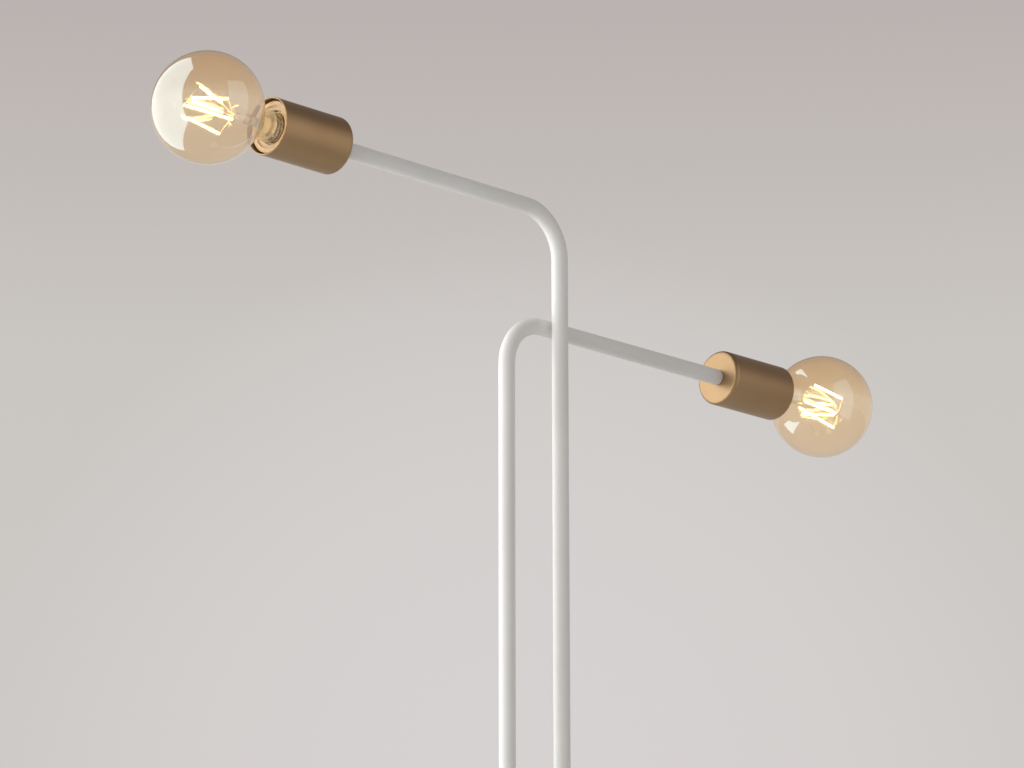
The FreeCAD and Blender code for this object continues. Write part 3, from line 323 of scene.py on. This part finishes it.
finishes = {
    "white_paint": newFinish("satinWhite", paintSatin, Coat_Weight=0.06, Coat_Roughness=0.25),
    "base_paint": newFinish("baseWhite", paintBase, Coat_Weight=0.1, Coat_Roughness=0.3),
    "gold_paint": newFinish("satinBronze", paintBronze, Metallic=0.92, Coat_Weight=0.12,
                            Coat_Roughness=0.35),
    "zinc_steel": newFinish("zincSteel", paintMetal((0.62, 0.63, 0.64), (0.45, 0.45, 0.46),
                                                    0.34, 90), Metallic=1.0),
    "steel_plate": newFinish("rolledSteel", paintMetal((0.33, 0.33, 0.34), (0.22, 0.21, 0.21),
                                                       0.45, 30), Metallic=1.0),
    "cast_weight": newFinish("castIron", paintPlastic((0.12, 0.12, 0.12), (0.07, 0.065, 0.06),
                                                      0.75, 300), Metallic=0.6),
    "base_rubber": newFinish("feltRubber", paintPlastic((0.055, 0.055, 0.055),
                                                        (0.035, 0.035, 0.035), 0.8, 900)),
    "dark_plastic": newFinish("glandPlastic", paintPlastic((0.72, 0.70, 0.66),
                                                           (0.66, 0.63, 0.58), 0.42)),
    "block_plastic": newFinish("blockPlastic", paintPlastic((0.80, 0.80, 0.78),
                                                            (0.72, 0.72, 0.70), 0.4)),
    "lead_sheath": newFinish("leadSheath", paintPlastic((0.70, 0.70, 0.68),
                                                        (0.62, 0.61, 0.58), 0.5)),
    # painted light: cream plastic darkened to tan, with the bulbs' warm light painted into its
    # colour
    "cream_plastic": newFinish("creamWithPaintedWarmLight", paintPlastic((0.64, 0.49, 0.31),
                                                            (0.58, 0.43, 0.26), 0.3)),
    "core_ceramic": newFinish("coreCeramic", paintPlastic((0.82, 0.80, 0.76),
                                                          (0.74, 0.71, 0.66), 0.35, 600)),
    "contact_brass": newFinish("contactBrass", paintMetal((0.80, 0.60, 0.28),
                                                          (0.60, 0.42, 0.18), 0.28, 120),
                               Metallic=1.0),
    "amber_glass": coatGlass(newFinish("amberGlass", paintAmber, **glassWithPaintedGlow),
                             glass["outsideShare"]),
    "clear_glass": newFinish("clearGlass", paintClear, Transmission_Weight=0.82, IOR=1.3),
    "cap_nickel": newFinish("capNickel", paintMetal((0.74, 0.72, 0.68), (0.58, 0.55, 0.50),
                                                    0.25, 150), Metallic=1.0),
    "black_glass": newFinish("blackGlass", paintPlastic((0.02, 0.02, 0.022),
                                                        (0.012, 0.012, 0.012), 0.15)),
    "driver_board": newFinish("driverBoard", paintBoard),
    "filament_coat": newFinish("litFilament", paintGlow, Emission_Strength=glow["strength"],
                               Roughness=0.5),
    "support_wire": newFinish("supportWire", paintMetal((0.78, 0.70, 0.58), (0.62, 0.52, 0.40),
                                                        0.3, 400), Metallic=1.0),
}

glassInside = coatGlass(newFinish("amberInside", paintAmber, **glassWithPaintedGlow), glass["insideShare"])

for part in frame["record"]["subparts"]:
    skin = nodes[part["node"]].data.materials
    skin.clear()
    skin.append(finishes[part["material_slot"]])
print("finishes made:", len(finishes))


# how pieces are shaped

shaping = {
    "seam": 0.002 * mm,      # points closer than this are one
    "slack": 0.02 * mm,      # how far off its ring a point may lie
    "guardPast": 1.12,       # a guard ring's distance from its corner, in sizes of the round
    "guardRoom": 0.45,       # share of a step that one guard ring may take
    "smooth": 40,            # edges sharper than this, in degrees, stay sharp
}


def aim(axis):
    return Vector(axis).to_track_quat("Z", "Y").to_euler()


def startPiece(name):
    piece = bpy.context.object
    piece.name = piece.data.name = name
    bpy.ops.object.transform_apply(location=True, rotation=True, scale=True)
    bpy.ops.object.mode_set(mode="EDIT")
    bpy.ops.mesh.select_all(action="SELECT")
    return piece


def pickPoints(piece, test):
    bpy.ops.mesh.select_mode(type="VERT")
    bpy.ops.mesh.select_all(action="DESELECT")
    cage = bmesh.from_edit_mesh(piece.data)
    for point in cage.verts:
        point.select = test(point.co)
    cage.select_flush_mode()
    bmesh.update_edit_mesh(piece.data)


def ringTest(centre, axis, along, radius, slack=shaping["slack"]):
    def test(place):
        rise = (place - centre).dot(axis)
        return (abs(rise - along) < slack
                and abs((place - centre - axis * rise).length - radius) < slack)
    return test


def resizeRing(middle, size):  # a flat ring stays flat when all its ways are scaled
    bpy.ops.transform.resize(value=(size, size, size), center_override=middle)


def drawRing(centre, axis, along, radius, nextAlong, nextRadius):
    bpy.ops.mesh.extrude_region_move(
        TRANSFORM_OT_translate={"value": axis * (nextAlong - along)})
    if nextRadius == 0:
        bpy.ops.mesh.merge(type="CENTER")
    elif nextRadius != radius:
        resizeRing(centre + axis * nextAlong, nextRadius / radius)


def closePiece(piece, sheet=0.0, smooth=shaping["smooth"]):
    bpy.ops.mesh.select_all(action="SELECT")
    bpy.ops.mesh.remove_doubles(threshold=shaping["seam"])
    bpy.ops.mesh.normals_make_consistent(inside=False)
    bpy.ops.object.mode_set(mode="OBJECT")
    if sheet:
        wall = piece.modifiers.new("wall", "SOLIDIFY")
        wall.thickness = sheet
        wall.offset = -1
        wall.use_even_offset = True
        bpy.ops.object.modifier_apply(modifier="wall")
    bpy.ops.object.shade_smooth_by_angle(angle=math.radians(smooth))


def withGuards(rings):  # a ring beside each round keeps the flat next to it flat
    whole = [rings[0]]
    for last, ring in zip(rings, rings[1:]):
        step = Vector(ring[:2]) - Vector(last[:2])
        for corner, way in ((last, 1), (ring, -1)):
            guard = shaping["guardPast"] * corner[2] if len(corner) > 2 else 0
            if 0 < guard < step.length * shaping["guardRoom"]:
                whole.append(tuple(Vector(corner[:2]) + step.normalized() * guard * way))
        whole.append(ring)
    return whole


def turnPiece(name, centre, axis, rings, corners=96, solid=False, sheet=0.0, steps=6):
    # rings are (distance along the axis, radius, size of the round there)
    bpy.ops.object.select_all(action="DESELECT")
    rings = withGuards(rings)
    along, radius = rings[0][:2]
    bpy.ops.mesh.primitive_circle_add(vertices=corners, radius=radius, rotation=aim(axis),
                                      location=centre + axis * along,
                                      fill_type="NGON" if solid else "NOTHING")
    piece = startPiece(name)
    for ring in rings[1:]:
        drawRing(centre, axis, along, radius, *ring[:2])
        along, radius = ring[:2]
    bpy.ops.mesh.select_all(action="SELECT")
    bpy.ops.mesh.remove_doubles(threshold=shaping["seam"])
    for ring in rings:
        if len(ring) > 2:
            pickPoints(piece, ringTest(centre, axis, *ring[:2]))
            bpy.ops.mesh.bevel(offset=ring[2], segments=steps, affect="EDGES")
    closePiece(piece, sheet)
    return piece


def dress(piece, slot, body, *replaced):
    piece.data.materials.clear()
    piece.data.materials.append(finishes[slot])
    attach(piece, body)
    if replaced:
        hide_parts(*replaced)
    return piece


# the two poles with their arms

poles = {
    "tube": 14.5 * mm,
    "sheet": 1.2 * mm,
    "bend": 42 * mm,      # radius of the bend's middle line
    "corners": 64,
    "bendSteps": 28,
    "gap": 0.25 * mm,     # shadow line where the arm meets its cover
    "endRound": 0.35 * mm,
    "endSteps": 3,
}

sides = {}
for side, way in (("upper", -1), ("lower", 1)):
    low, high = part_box(side + "_holder_cover")
    poleLow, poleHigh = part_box(side + "_pole_tube")
    tipLow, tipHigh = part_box(side + "_bulb_tip")
    middle = (low + high) / 2
    out = Vector((way, 0, 0))
    sides[side] = {
        "way": way,
        "out": out,
        "back": Vector((low.x if way > 0 else high.x, middle.y, middle.z)),
        "tip": Vector((tipLow.x if way > 0 else tipHigh.x, middle.y, middle.z)),
        "foot": Vector(((poleLow.x + poleHigh.x) / 2, (poleLow.y + poleHigh.y) / 2, poleLow.z)),
        "joint": poleHigh.z,
    }


def bendArm(side, spot):
    foot, joint, back = spot["foot"], spot["joint"], spot["back"]
    radius = poles["tube"] / 2
    start = Vector((foot.x, foot.y, joint))
    bpy.ops.object.select_all(action="DESELECT")
    bpy.ops.mesh.primitive_circle_add(vertices=poles["corners"], radius=radius, location=start)
    piece = startPiece(side + "ArmTube")
    turnHeight = back.z - poles["bend"]
    bpy.ops.mesh.extrude_region_move(
        TRANSFORM_OT_translate={"value": up * (turnHeight - joint)})
    hub = Vector((foot.x + spot["way"] * poles["bend"], foot.y, turnHeight))
    bpy.ops.mesh.spin(steps=poles["bendSteps"], angle=math.pi / 2, center=hub,
                      axis=Vector((0, -spot["way"], 0)))
    reach = abs(back.x - hub.x) - poles["gap"]
    bpy.ops.mesh.extrude_region_move(TRANSFORM_OT_translate={"value": spot["out"] * reach})
    closePiece(piece, poles["sheet"])
    dress(piece, "white_paint", "root", side + "_arm_tube")


for side, spot in sides.items():
    foot = spot["foot"]
    flat = Vector((foot.x, foot.y, 0))
    outer, inner = poles["tube"] / 2, poles["tube"] / 2 - poles["sheet"]
    endRound = poles["endRound"]
    pole = turnPiece(side + "PoleTube", flat, up, [
        (foot.z, outer, endRound), (spot["joint"], outer, endRound),
        (spot["joint"], inner), (foot.z, inner), (foot.z, outer)],
        corners=poles["corners"], steps=poles["endSteps"])
    dress(pole, "white_paint", "root", side + "_pole_tube")
    bendArm(side, spot)
print("poles and arms made")


# covers and lampholders

cover = {
    "outer": 25 * mm,
    "length": 77 * mm,
    "sheet": 1.2 * mm,
    "back": 4 * mm,
    "lip": 0.5 * mm,
    "hole": 5.15 * mm,
    "holeRound": 0.2 * mm,
    "corners": 128,
    "steps": 8,
}
holder = {
    "outer": 22.7 * mm,
    "start": 24 * mm,
    "startRound": 0.4 * mm,
    "front": 73.4 * mm,
    "frontRound": 1.2 * mm,
    "recess": 18.5 * mm,
    "recessRound": 0.5 * mm,
    "floor": 71 * mm,
    "floorRound": 0.3 * mm,
    "mouth": 14.6 * mm,
    "mouthRound": 0.6 * mm,
    "mouthEnd": 69 * mm,
    "bore": 15.1 * mm,
    "socketEnd": 37 * mm,
    "socket": 20.05 * mm,
    "steps": 5,
}

for side, spot in sides.items():
    back, out = spot["back"], spot["out"]
    inside = cover["outer"] - cover["sheet"]
    shell = turnPiece(side + "HolderCover", back, out, [
        (0, cover["hole"], cover["holeRound"]), (0, cover["outer"], cover["back"]),
        (cover["length"], cover["outer"], cover["lip"]),
        (cover["length"], inside, cover["lip"]),
        (cover["sheet"], inside, cover["back"] - cover["sheet"]),
        (cover["sheet"], cover["hole"]), (0, cover["hole"])],
        corners=cover["corners"], steps=cover["steps"])
    dress(shell, "gold_paint", "root", side + "_holder_cover")
    body = turnPiece(side + "HolderBody", back, out, [
        (holder["start"], holder["outer"], holder["startRound"]),
        (holder["front"], holder["outer"], holder["frontRound"]),
        (holder["front"], holder["recess"], holder["recessRound"]),
        (holder["floor"], holder["recess"], holder["floorRound"]),
        (holder["floor"], holder["mouth"], holder["mouthRound"]),
        (holder["mouthEnd"], holder["mouth"]), (holder["mouthEnd"], holder["bore"]),
        (holder["socketEnd"], holder["bore"]), (holder["socketEnd"], holder["socket"]),
        (holder["start"], holder["socket"]), (holder["start"], holder["outer"])],
        corners=cover["corners"], steps=holder["steps"])
    dress(body, "cream_plastic", "root", side + "_holder_body")
print("covers and lampholders made")


# bulbs, measured from the contact tip

bulb = {
    "centre": 92.5 * mm,
    "globe": 47.5 * mm,
    "segments": 144,
    "rings": 72,
    "sheet": 0.8 * mm,
    "shoulder": 52 * mm,      # where the neck's curve meets the globe
    "curve": 24 * mm,
    "neckEnd": 31.5 * mm,
    "neckStart": 25.4 * mm,
    "neck": 13.3 * mm,
    "curveSteps": 14,
    "pitch": 3.629 * mm,
    "root": 12.3 * mm,
    "crest": 13.1 * mm,
    "waves": 12,
    "turns": 6,
    "smooth": 50,
}


def blowGlass(side, spot):
    tip, out = spot["tip"], spot["out"]
    bpy.ops.object.select_all(action="DESELECT")
    bpy.ops.mesh.primitive_uv_sphere_add(segments=bulb["segments"], ring_count=bulb["rings"],
                                         radius=bulb["globe"], rotation=aim(out),
                                         location=tip + out * bulb["centre"])
    piece = startPiece(side + "BulbGlass")
    bpy.ops.mesh.bisect(plane_co=tip + out * bulb["shoulder"], plane_no=out, clear_inner=True)
    along = bulb["shoulder"]
    radius = math.sqrt(bulb["globe"] ** 2 - (bulb["centre"] - along) ** 2)
    pickPoints(piece, ringTest(tip, out, along, radius, 0.05 * mm))
    widest = math.asin((bulb["shoulder"] - bulb["neckEnd"]) / bulb["curve"])
    for step in range(bulb["curveSteps"] - 1, -1, -1):
        turn = widest * step / bulb["curveSteps"]
        nextAlong = bulb["neckEnd"] + bulb["curve"] * math.sin(turn)
        nextRadius = bulb["neck"] + bulb["curve"] * (1 - math.cos(turn))
        drawRing(tip, out, along, radius, nextAlong, nextRadius)
        along, radius = nextAlong, nextRadius
    drawRing(tip, out, along, radius, bulb["neckStart"], bulb["neck"])
    closePiece(piece, bulb["sheet"], smooth=bulb["smooth"])
    dress(piece, "amber_glass", side + "_bulb", side + "_bulb_glass")
    piece.data.materials.append(glassInside)
    middle = tip + out * bulb["centre"]
    for face in piece.data.polygons:     # the wall's inner face looks at the globe's middle
        face.material_index = 1 if (face.center - middle).dot(face.normal) < 0 else 0
    piece.visible_shadow = False


filament = {
    "near": 73 * mm,
    "far": 111.5 * mm,
    "radius": 0.95 * mm,
    "round": 0.5 * mm,
    "corners": 20,
    "steps": 3,
    "tab": 0.4 * mm,         # the metal end that the wire is welded to
    "tabLength": 0.5 * mm,
    "slack": 0.01 * mm,
    "turn": {"upper": 0, "lower": 55},
    # where each one starts near the stem and ends at the far hub, across the bulb's axis
    "cage": [((10.3, 4.9), (11.2, -11.8)), ((11.8, -2.9), (3.6, -2.1)),
             ((1.6, 3.8), (0.6, -2.8)), ((-7.9, -9.3), (-0.5, 7.8)),
             ((-16.3, 7.4), (-12.7, 3.4))],
}


def acrossBulb(side, spot, along, across):
    turn = Matrix.Rotation(math.radians(filament["turn"][side]), 2)
    over, aside = turn @ Vector(across) * mm
    return spot["tip"] + spot["out"] * along + Vector((0, aside, -spot["way"] * over))


def makeFilaments(side, spot):
    rods = []
    for number, (near, far) in enumerate(filament["cage"], 1):
        start = acrossBulb(side, spot, filament["near"], near)
        end = acrossBulb(side, spot, filament["far"], far)
        axis = (end - start).normalized()
        length = (end - start).length
        tab, tabLength = filament["tab"], filament["tabLength"]
        radius, endRound = filament["radius"], filament["round"]
        rod = turnPiece(side + "Filament" + str(number), start, axis, [
            (-tabLength, tab), (0, tab), (0, radius, endRound),
            (length, radius, endRound), (length, tab), (length + tabLength, tab)],
            corners=filament["corners"], solid=True, steps=filament["steps"])
        rod.data.materials.append(finishes["filament_coat"])
        rod.data.materials.append(finishes["support_wire"])
        for face in rod.data.polygons:
            past = abs((face.center - start).dot(axis) - length / 2) - length / 2
            face.material_index = 0 if past < filament["slack"] else 1
        rods.append(rod)
    bpy.ops.object.select_all(action="DESELECT")
    for rod in rods:
        rod.select_set(True)
    bpy.context.view_layer.objects.active = rods[0]
    bpy.ops.object.join()
    whole = bpy.context.object
    whole.name = whole.data.name = side + "Filaments"
    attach(whole, side + "_bulb")
    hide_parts(side + "_bulb_filaments")


cap = {
    "sheet": 0.35 * mm,
    "start": 6.2 * mm,       # the thread, cut square at both ends
    "end": 24.2 * mm,
    "crimp": 11.1 * mm,
    "crimpEnd": 5 * mm,
    "collar": 13.9 * mm,
    "collarStart": 25 * mm,
    "collarEnd": 27.5 * mm,
    "rim": 13.45 * mm,
    "corners": 72,
    "seam": 0.005 * mm,
    "slack": 0.01 * mm,
}


def rollCap(side, spot):
    tip, out, way = spot["tip"], spot["out"], spot["way"]
    reach = bulb["pitch"] * (bulb["turns"] + 1)
    first = (cap["start"] + cap["end"] - reach) / 2
    begin = first if way > 0 else -first - reach      # the thread is always laid along +X
    middle, swing = (bulb["root"] + bulb["crest"]) / 2, (bulb["crest"] - bulb["root"]) / 2
    bpy.ops.object.select_all(action="DESELECT")
    bpy.ops.mesh.primitive_plane_add(size=1 * mm, location=tip)
    piece = bpy.context.object
    piece.name = piece.data.name = side + "BulbCap"
    bpy.ops.object.mode_set(mode="EDIT")
    bpy.ops.mesh.select_all(action="SELECT")
    bpy.ops.mesh.merge(type="CENTER")
    bpy.ops.transform.translate(value=(begin, 0, middle + swing))
    height = middle + swing
    for step in range(1, bulb["waves"] + 1):
        nextHeight = middle + swing * math.cos(2 * math.pi * step / bulb["waves"])
        bpy.ops.mesh.extrude_region_move(TRANSFORM_OT_translate={
            "value": (bulb["pitch"] / bulb["waves"], 0, nextHeight - height)})
        height = nextHeight
    bpy.ops.object.mode_set(mode="OBJECT")
    thread = piece.modifiers.new("thread", "SCREW")
    thread.axis = "X"
    thread.angle = 2 * math.pi
    thread.screw_offset = bulb["pitch"]
    thread.iterations = bulb["turns"]
    thread.steps = thread.render_steps = cap["corners"]
    bpy.ops.object.modifier_apply(modifier="thread")
    bpy.ops.object.transform_apply(location=True, rotation=True, scale=True)
    bpy.ops.object.mode_set(mode="EDIT")
    bpy.ops.mesh.select_all(action="SELECT")
    bpy.ops.mesh.remove_doubles(threshold=cap["seam"])
    for along, facing in ((cap["start"], -out), (cap["end"], out)):
        bpy.ops.mesh.select_all(action="SELECT")
        bpy.ops.mesh.bisect(plane_co=tip + out * along, plane_no=facing, clear_outer=True)
    ends = ((cap["start"], (cap["crimpEnd"], cap["crimp"])),
            (cap["end"], (cap["collarStart"], cap["collar"]), (cap["collarEnd"], cap["collar"]),
             (cap["collarEnd"], cap["rim"])))
    for along, *rings in ends:
        pickPoints(piece, lambda place: abs((place - tip).dot(out) - along) < cap["slack"])
        last, radius = along, middle
        for number, (nextAlong, nextRadius) in enumerate(rings):
            bpy.ops.mesh.extrude_region_move(
                TRANSFORM_OT_translate={"value": out * (nextAlong - last)})
            if number == 0:      # the cut thread's wavy end becomes a round ring
                bpy.ops.transform.tosphere(value=1, center_override=tip + out * nextAlong)
            resizeRing(tip + out * nextAlong, nextRadius / radius)
            last, radius = nextAlong, nextRadius
    closePiece(piece, cap["sheet"], smooth=bulb["smooth"])
    dress(piece, "cap_nickel", side + "_bulb", side + "_bulb_cap")


stem = {
    "flare": ((26.6, 12.2), (27.6, 11.6), (29.5, 9.2), (32.5, 6.4)),    # mm along and across
    "neckStart": 38 * mm,
    "neckEnd": 50 * mm,
    "neck": 4 * mm,
    "press": 55 * mm,        # where the pinched tip starts
    "pressRound": 0.8 * mm,
    "top": 64 * mm,
    "tip": 2.2 * mm,
    "tipRound": 0.6 * mm,
    "corners": 64,
    "steps": 4,
}


def drawStem(side, spot):
    flare = [(along * mm, radius * mm) for along, radius in stem["flare"]]
    piece = turnPiece(side + "BulbStem", spot["tip"], spot["out"], flare + [
        (stem["neckStart"], stem["neck"]), (stem["neckEnd"], stem["neck"]),
        (stem["press"], stem["neck"], stem["pressRound"]),
        (stem["top"], stem["tip"], stem["tipRound"])],
        corners=stem["corners"], solid=True, steps=stem["steps"])
    dress(piece, "clear_glass", side + "_bulb", side + "_bulb_stem")


for side, spot in sides.items():
    blowGlass(side, spot)
    makeFilaments(side, spot)
    rollCap(side, spot)
    drawStem(side, spot)
print("bulbs made")


# base

base = {
    "radius": 140 * mm,
    "rim": 5 * mm,
    "bottom": 1 * mm,
    "shoulder": 19 * mm,
    "top": 32 * mm,
    "flat": 42 * mm,
    "flatRound": 2 * mm,
    "middle": 12 * mm,       # a last ring before the top's centre
    "sheet": 1.5 * mm,
    "corners": 192,
    "steps": 8,
}
collar = {
    "outer": 12 * mm,
    "height": 5 * mm,
    "round": 1.2 * mm,
    "play": 0.05 * mm,
    "boreRound": 0.3 * mm,
    "corners": 96,
    "steps": 5,
}

pan = turnPiece("basePan", origin, up, [
    (base["bottom"], base["radius"]), (base["shoulder"], base["radius"], base["rim"]),
    (base["top"], base["flat"], base["flatRound"]), (base["top"], base["middle"]),
    (base["top"], 0)], corners=base["corners"], sheet=base["sheet"], steps=base["steps"])
dress(pan, "base_paint", "root", "base_cover")
for side, spot in sides.items():
    bore = poles["tube"] / 2 + collar["play"]
    neck = turnPiece(side + "PoleCollar", spot["foot"], up, [
        (0, collar["outer"]), (collar["height"], collar["outer"], collar["round"]),
        (collar["height"], bore, collar["boreRound"]), (0, bore), (0, collar["outer"])],
        corners=collar["corners"], steps=collar["steps"])
    dress(neck, "white_paint", "root", "pole_collars")
print("base made")


# camera and light

view = {
    "place": (-2.852, -2.8413, 0.1963),
    "pitch": 15.88,
    "heading": -44.84,
    "roll": -0.12,
    "lens": 168.75,
    "sensor": 36,
}

eye = bpy.data.cameras.new("eye")
eye.lens = view["lens"]
eye.sensor_width = view["sensor"]
eye.sensor_fit = "HORIZONTAL"
camera = bpy.data.objects.new("eye", eye)
bpy.context.collection.objects.link(camera)
camera.matrix_world = (Matrix.Translation(view["place"])
                       @ Matrix.Rotation(math.radians(view["heading"]), 4, "Z")
                       @ Matrix.Rotation(math.radians(90 + view["pitch"]), 4, "X")
                       @ Matrix.Rotation(math.radians(view["roll"]), 4, "Z"))
bpy.context.scene.camera = camera

# a bearing, in degrees, is counted from the camera's side of the upper bulb, to the image's left
lamps = {
    "window": {"bearing": 95, "away": 1.15, "middle": 2.45, "size": (2.6, 4.8), "radiance": 1.74,
               "colour": (0.96, 0.99, 1.0)},
    "fill": {"bearing": -68, "away": 1.9, "middle": 1.75, "size": (1.6, 2.6), "radiance": 0.38,
             "colour": (1.0, 0.975, 0.95)},
    "low": {"bearing": 35, "away": 1.5, "middle": 0.45, "size": (1.6, 0.8), "radiance": 1.6,
            "colour": (1.0, 0.99, 0.97)},
}
upper = sides["upper"]
subject = upper["tip"] + upper["out"] * bulb["centre"]
subject.y = 0
for name, spec in lamps.items():
    light = bpy.data.lights.new(name, "AREA")
    light.shape = "RECTANGLE"
    light.size, light.size_y = spec["size"]
    light.energy = spec["radiance"] * math.pi * light.size * light.size_y
    light.color = spec["colour"]
    lamp = bpy.data.objects.new(name, light)
    bpy.context.collection.objects.link(lamp)
    turn = math.radians(270 + view["heading"] - spec["bearing"])
    away = Vector((math.cos(turn), math.sin(turn), 0))
    place = subject + away * spec["away"]
    lamp.location = (place.x, place.y, spec["middle"])
    upright = name != "low"
    facing = -away if upright else subject - lamp.location
    lamp.rotation_euler = facing.to_track_quat("-Z", "Y").to_euler()
    lamp.visible_camera = lamp.visible_transmission = False
    lamp.visible_glossy = upright

emberGlow = {"power": 0.2, "colour": (1.0, 0.72, 0.40), "radius": 12 * mm, "place": 92 * mm}
for side, spot in sides.items():
    light = bpy.data.lights.new(side + "Glow", "POINT")
    light.energy = emberGlow["power"]
    light.color = emberGlow["colour"]
    light.shadow_soft_size = emberGlow["radius"]
    lamp = bpy.data.objects.new(side + "Glow", light)
    bpy.context.collection.objects.link(lamp)
    lamp.location = spot["tip"] + spot["out"] * emberGlow["place"]
    lamp.visible_camera = lamp.visible_glossy = lamp.visible_transmission = False

backdrop = {
    "stops": [(0.0, (0.62, 0.60, 0.585)), (0.60, (0.61, 0.585, 0.57)), (0.64, (0.59, 0.565, 0.54)),
              (0.675, (0.49, 0.445, 0.435)), (0.80, (0.28, 0.255, 0.25)),
              (1.0, (0.17, 0.155, 0.15))],
    "ambient": [(0.35, (0.48, 0.475, 0.47)), (0.9, (0.34, 0.335, 0.33))],
    "pool": (0.6935, 0.6935, 0.195),    # where the wall behind the lamp is lightest
    "poolColour": (0.675, 0.645, 0.64),
    "poolEdge": 0.9935,
}


def seenShare(tree):  # 1 for what the camera sees, straight, mirrored or through glass
    straight = Wire(tree).node("LightPath", output=0)
    path = straight.socket.node
    mirrored = Wire(tree, path.outputs["Is Glossy Ray"])
    through = Wire(tree, path.outputs["Is Transmission Ray"])
    return straight.sum("MAXIMUM", straight.sum("MAXIMUM", straight, mirrored), through)


world = bpy.data.worlds.new("studio")
bpy.context.scene.world = world
world.use_nodes = True
tree = world.node_tree
tree.nodes.clear()
sky = Wire(tree)
toward = sky.node("TexCoord", output=0)
rise = toward.part("Z")
wall = sky.node("ValToRGB", {"stops": backdrop["stops"]}, {0: 0.5 + 0.5 * rise})
pool = toward.node("VectorMath", {"operation": "DOT_PRODUCT"},
                   {0: toward, 1: Vector(backdrop["pool"]).normalized()}, output=1)
lit = pool.within(backdrop["poolEdge"], 1.0).blend(wall, rgba(backdrop["poolColour"]))
soft = sky.node("ValToRGB", {"stops": backdrop["ambient"]}, {0: 0.5 + 0.5 * rise})
air = sky.node("Background", None, {"Color": soft})
screen = sky.node("Background", None, {"Color": lit})
mixed = sky.node("MixShader", None, {0: seenShare(tree), 1: air, 2: screen})
wayOut = tree.nodes.new("ShaderNodeOutputWorld")
tree.links.new(mixed.socket, wayOut.inputs["Surface"])


floorLook = {
    "colour": (0.60, 0.585, 0.57),
    "patch": (0.63, 0.61, 0.60),
    "share": 0.78,      # how much of the floor that is seen shines by itself
    "size": 30,
    "cuts": 3,
}


def paintFloor(place):
    return {
        "Base_Color": place.noise(1.2, 3).blend(rgba(floorLook["colour"]),
                                                rgba(floorLook["patch"])),
        "Roughness": 0.8 + 0.1 * place.noise(30),
    }


bpy.ops.object.select_all(action="DESELECT")
bpy.ops.mesh.primitive_plane_add(size=floorLook["size"], location=origin)
floor = startPiece("floor")
bpy.ops.mesh.subdivide(number_cuts=floorLook["cuts"])
bpy.ops.object.mode_set(mode="OBJECT")
paleFloor = newFinish("paleFloor", paintFloor)
tree = paleFloor.node_tree
place = Wire(tree)
glare = place.node("Emission", None, {"Color": rgba(floorLook["colour"])})
both = place.node("MixShader", None, {0: floorLook["share"] * seenShare(tree),
                                      1: Wire(tree, tree.nodes["Principled BSDF"].outputs[0]),
                                      2: glare})
tree.links.new(both.socket, tree.nodes["Material Output"].inputs["Surface"])
floor.data.materials.append(paleFloor)
bpy.context.scene.view_settings.view_transform = "Standard"
print("camera and light set")
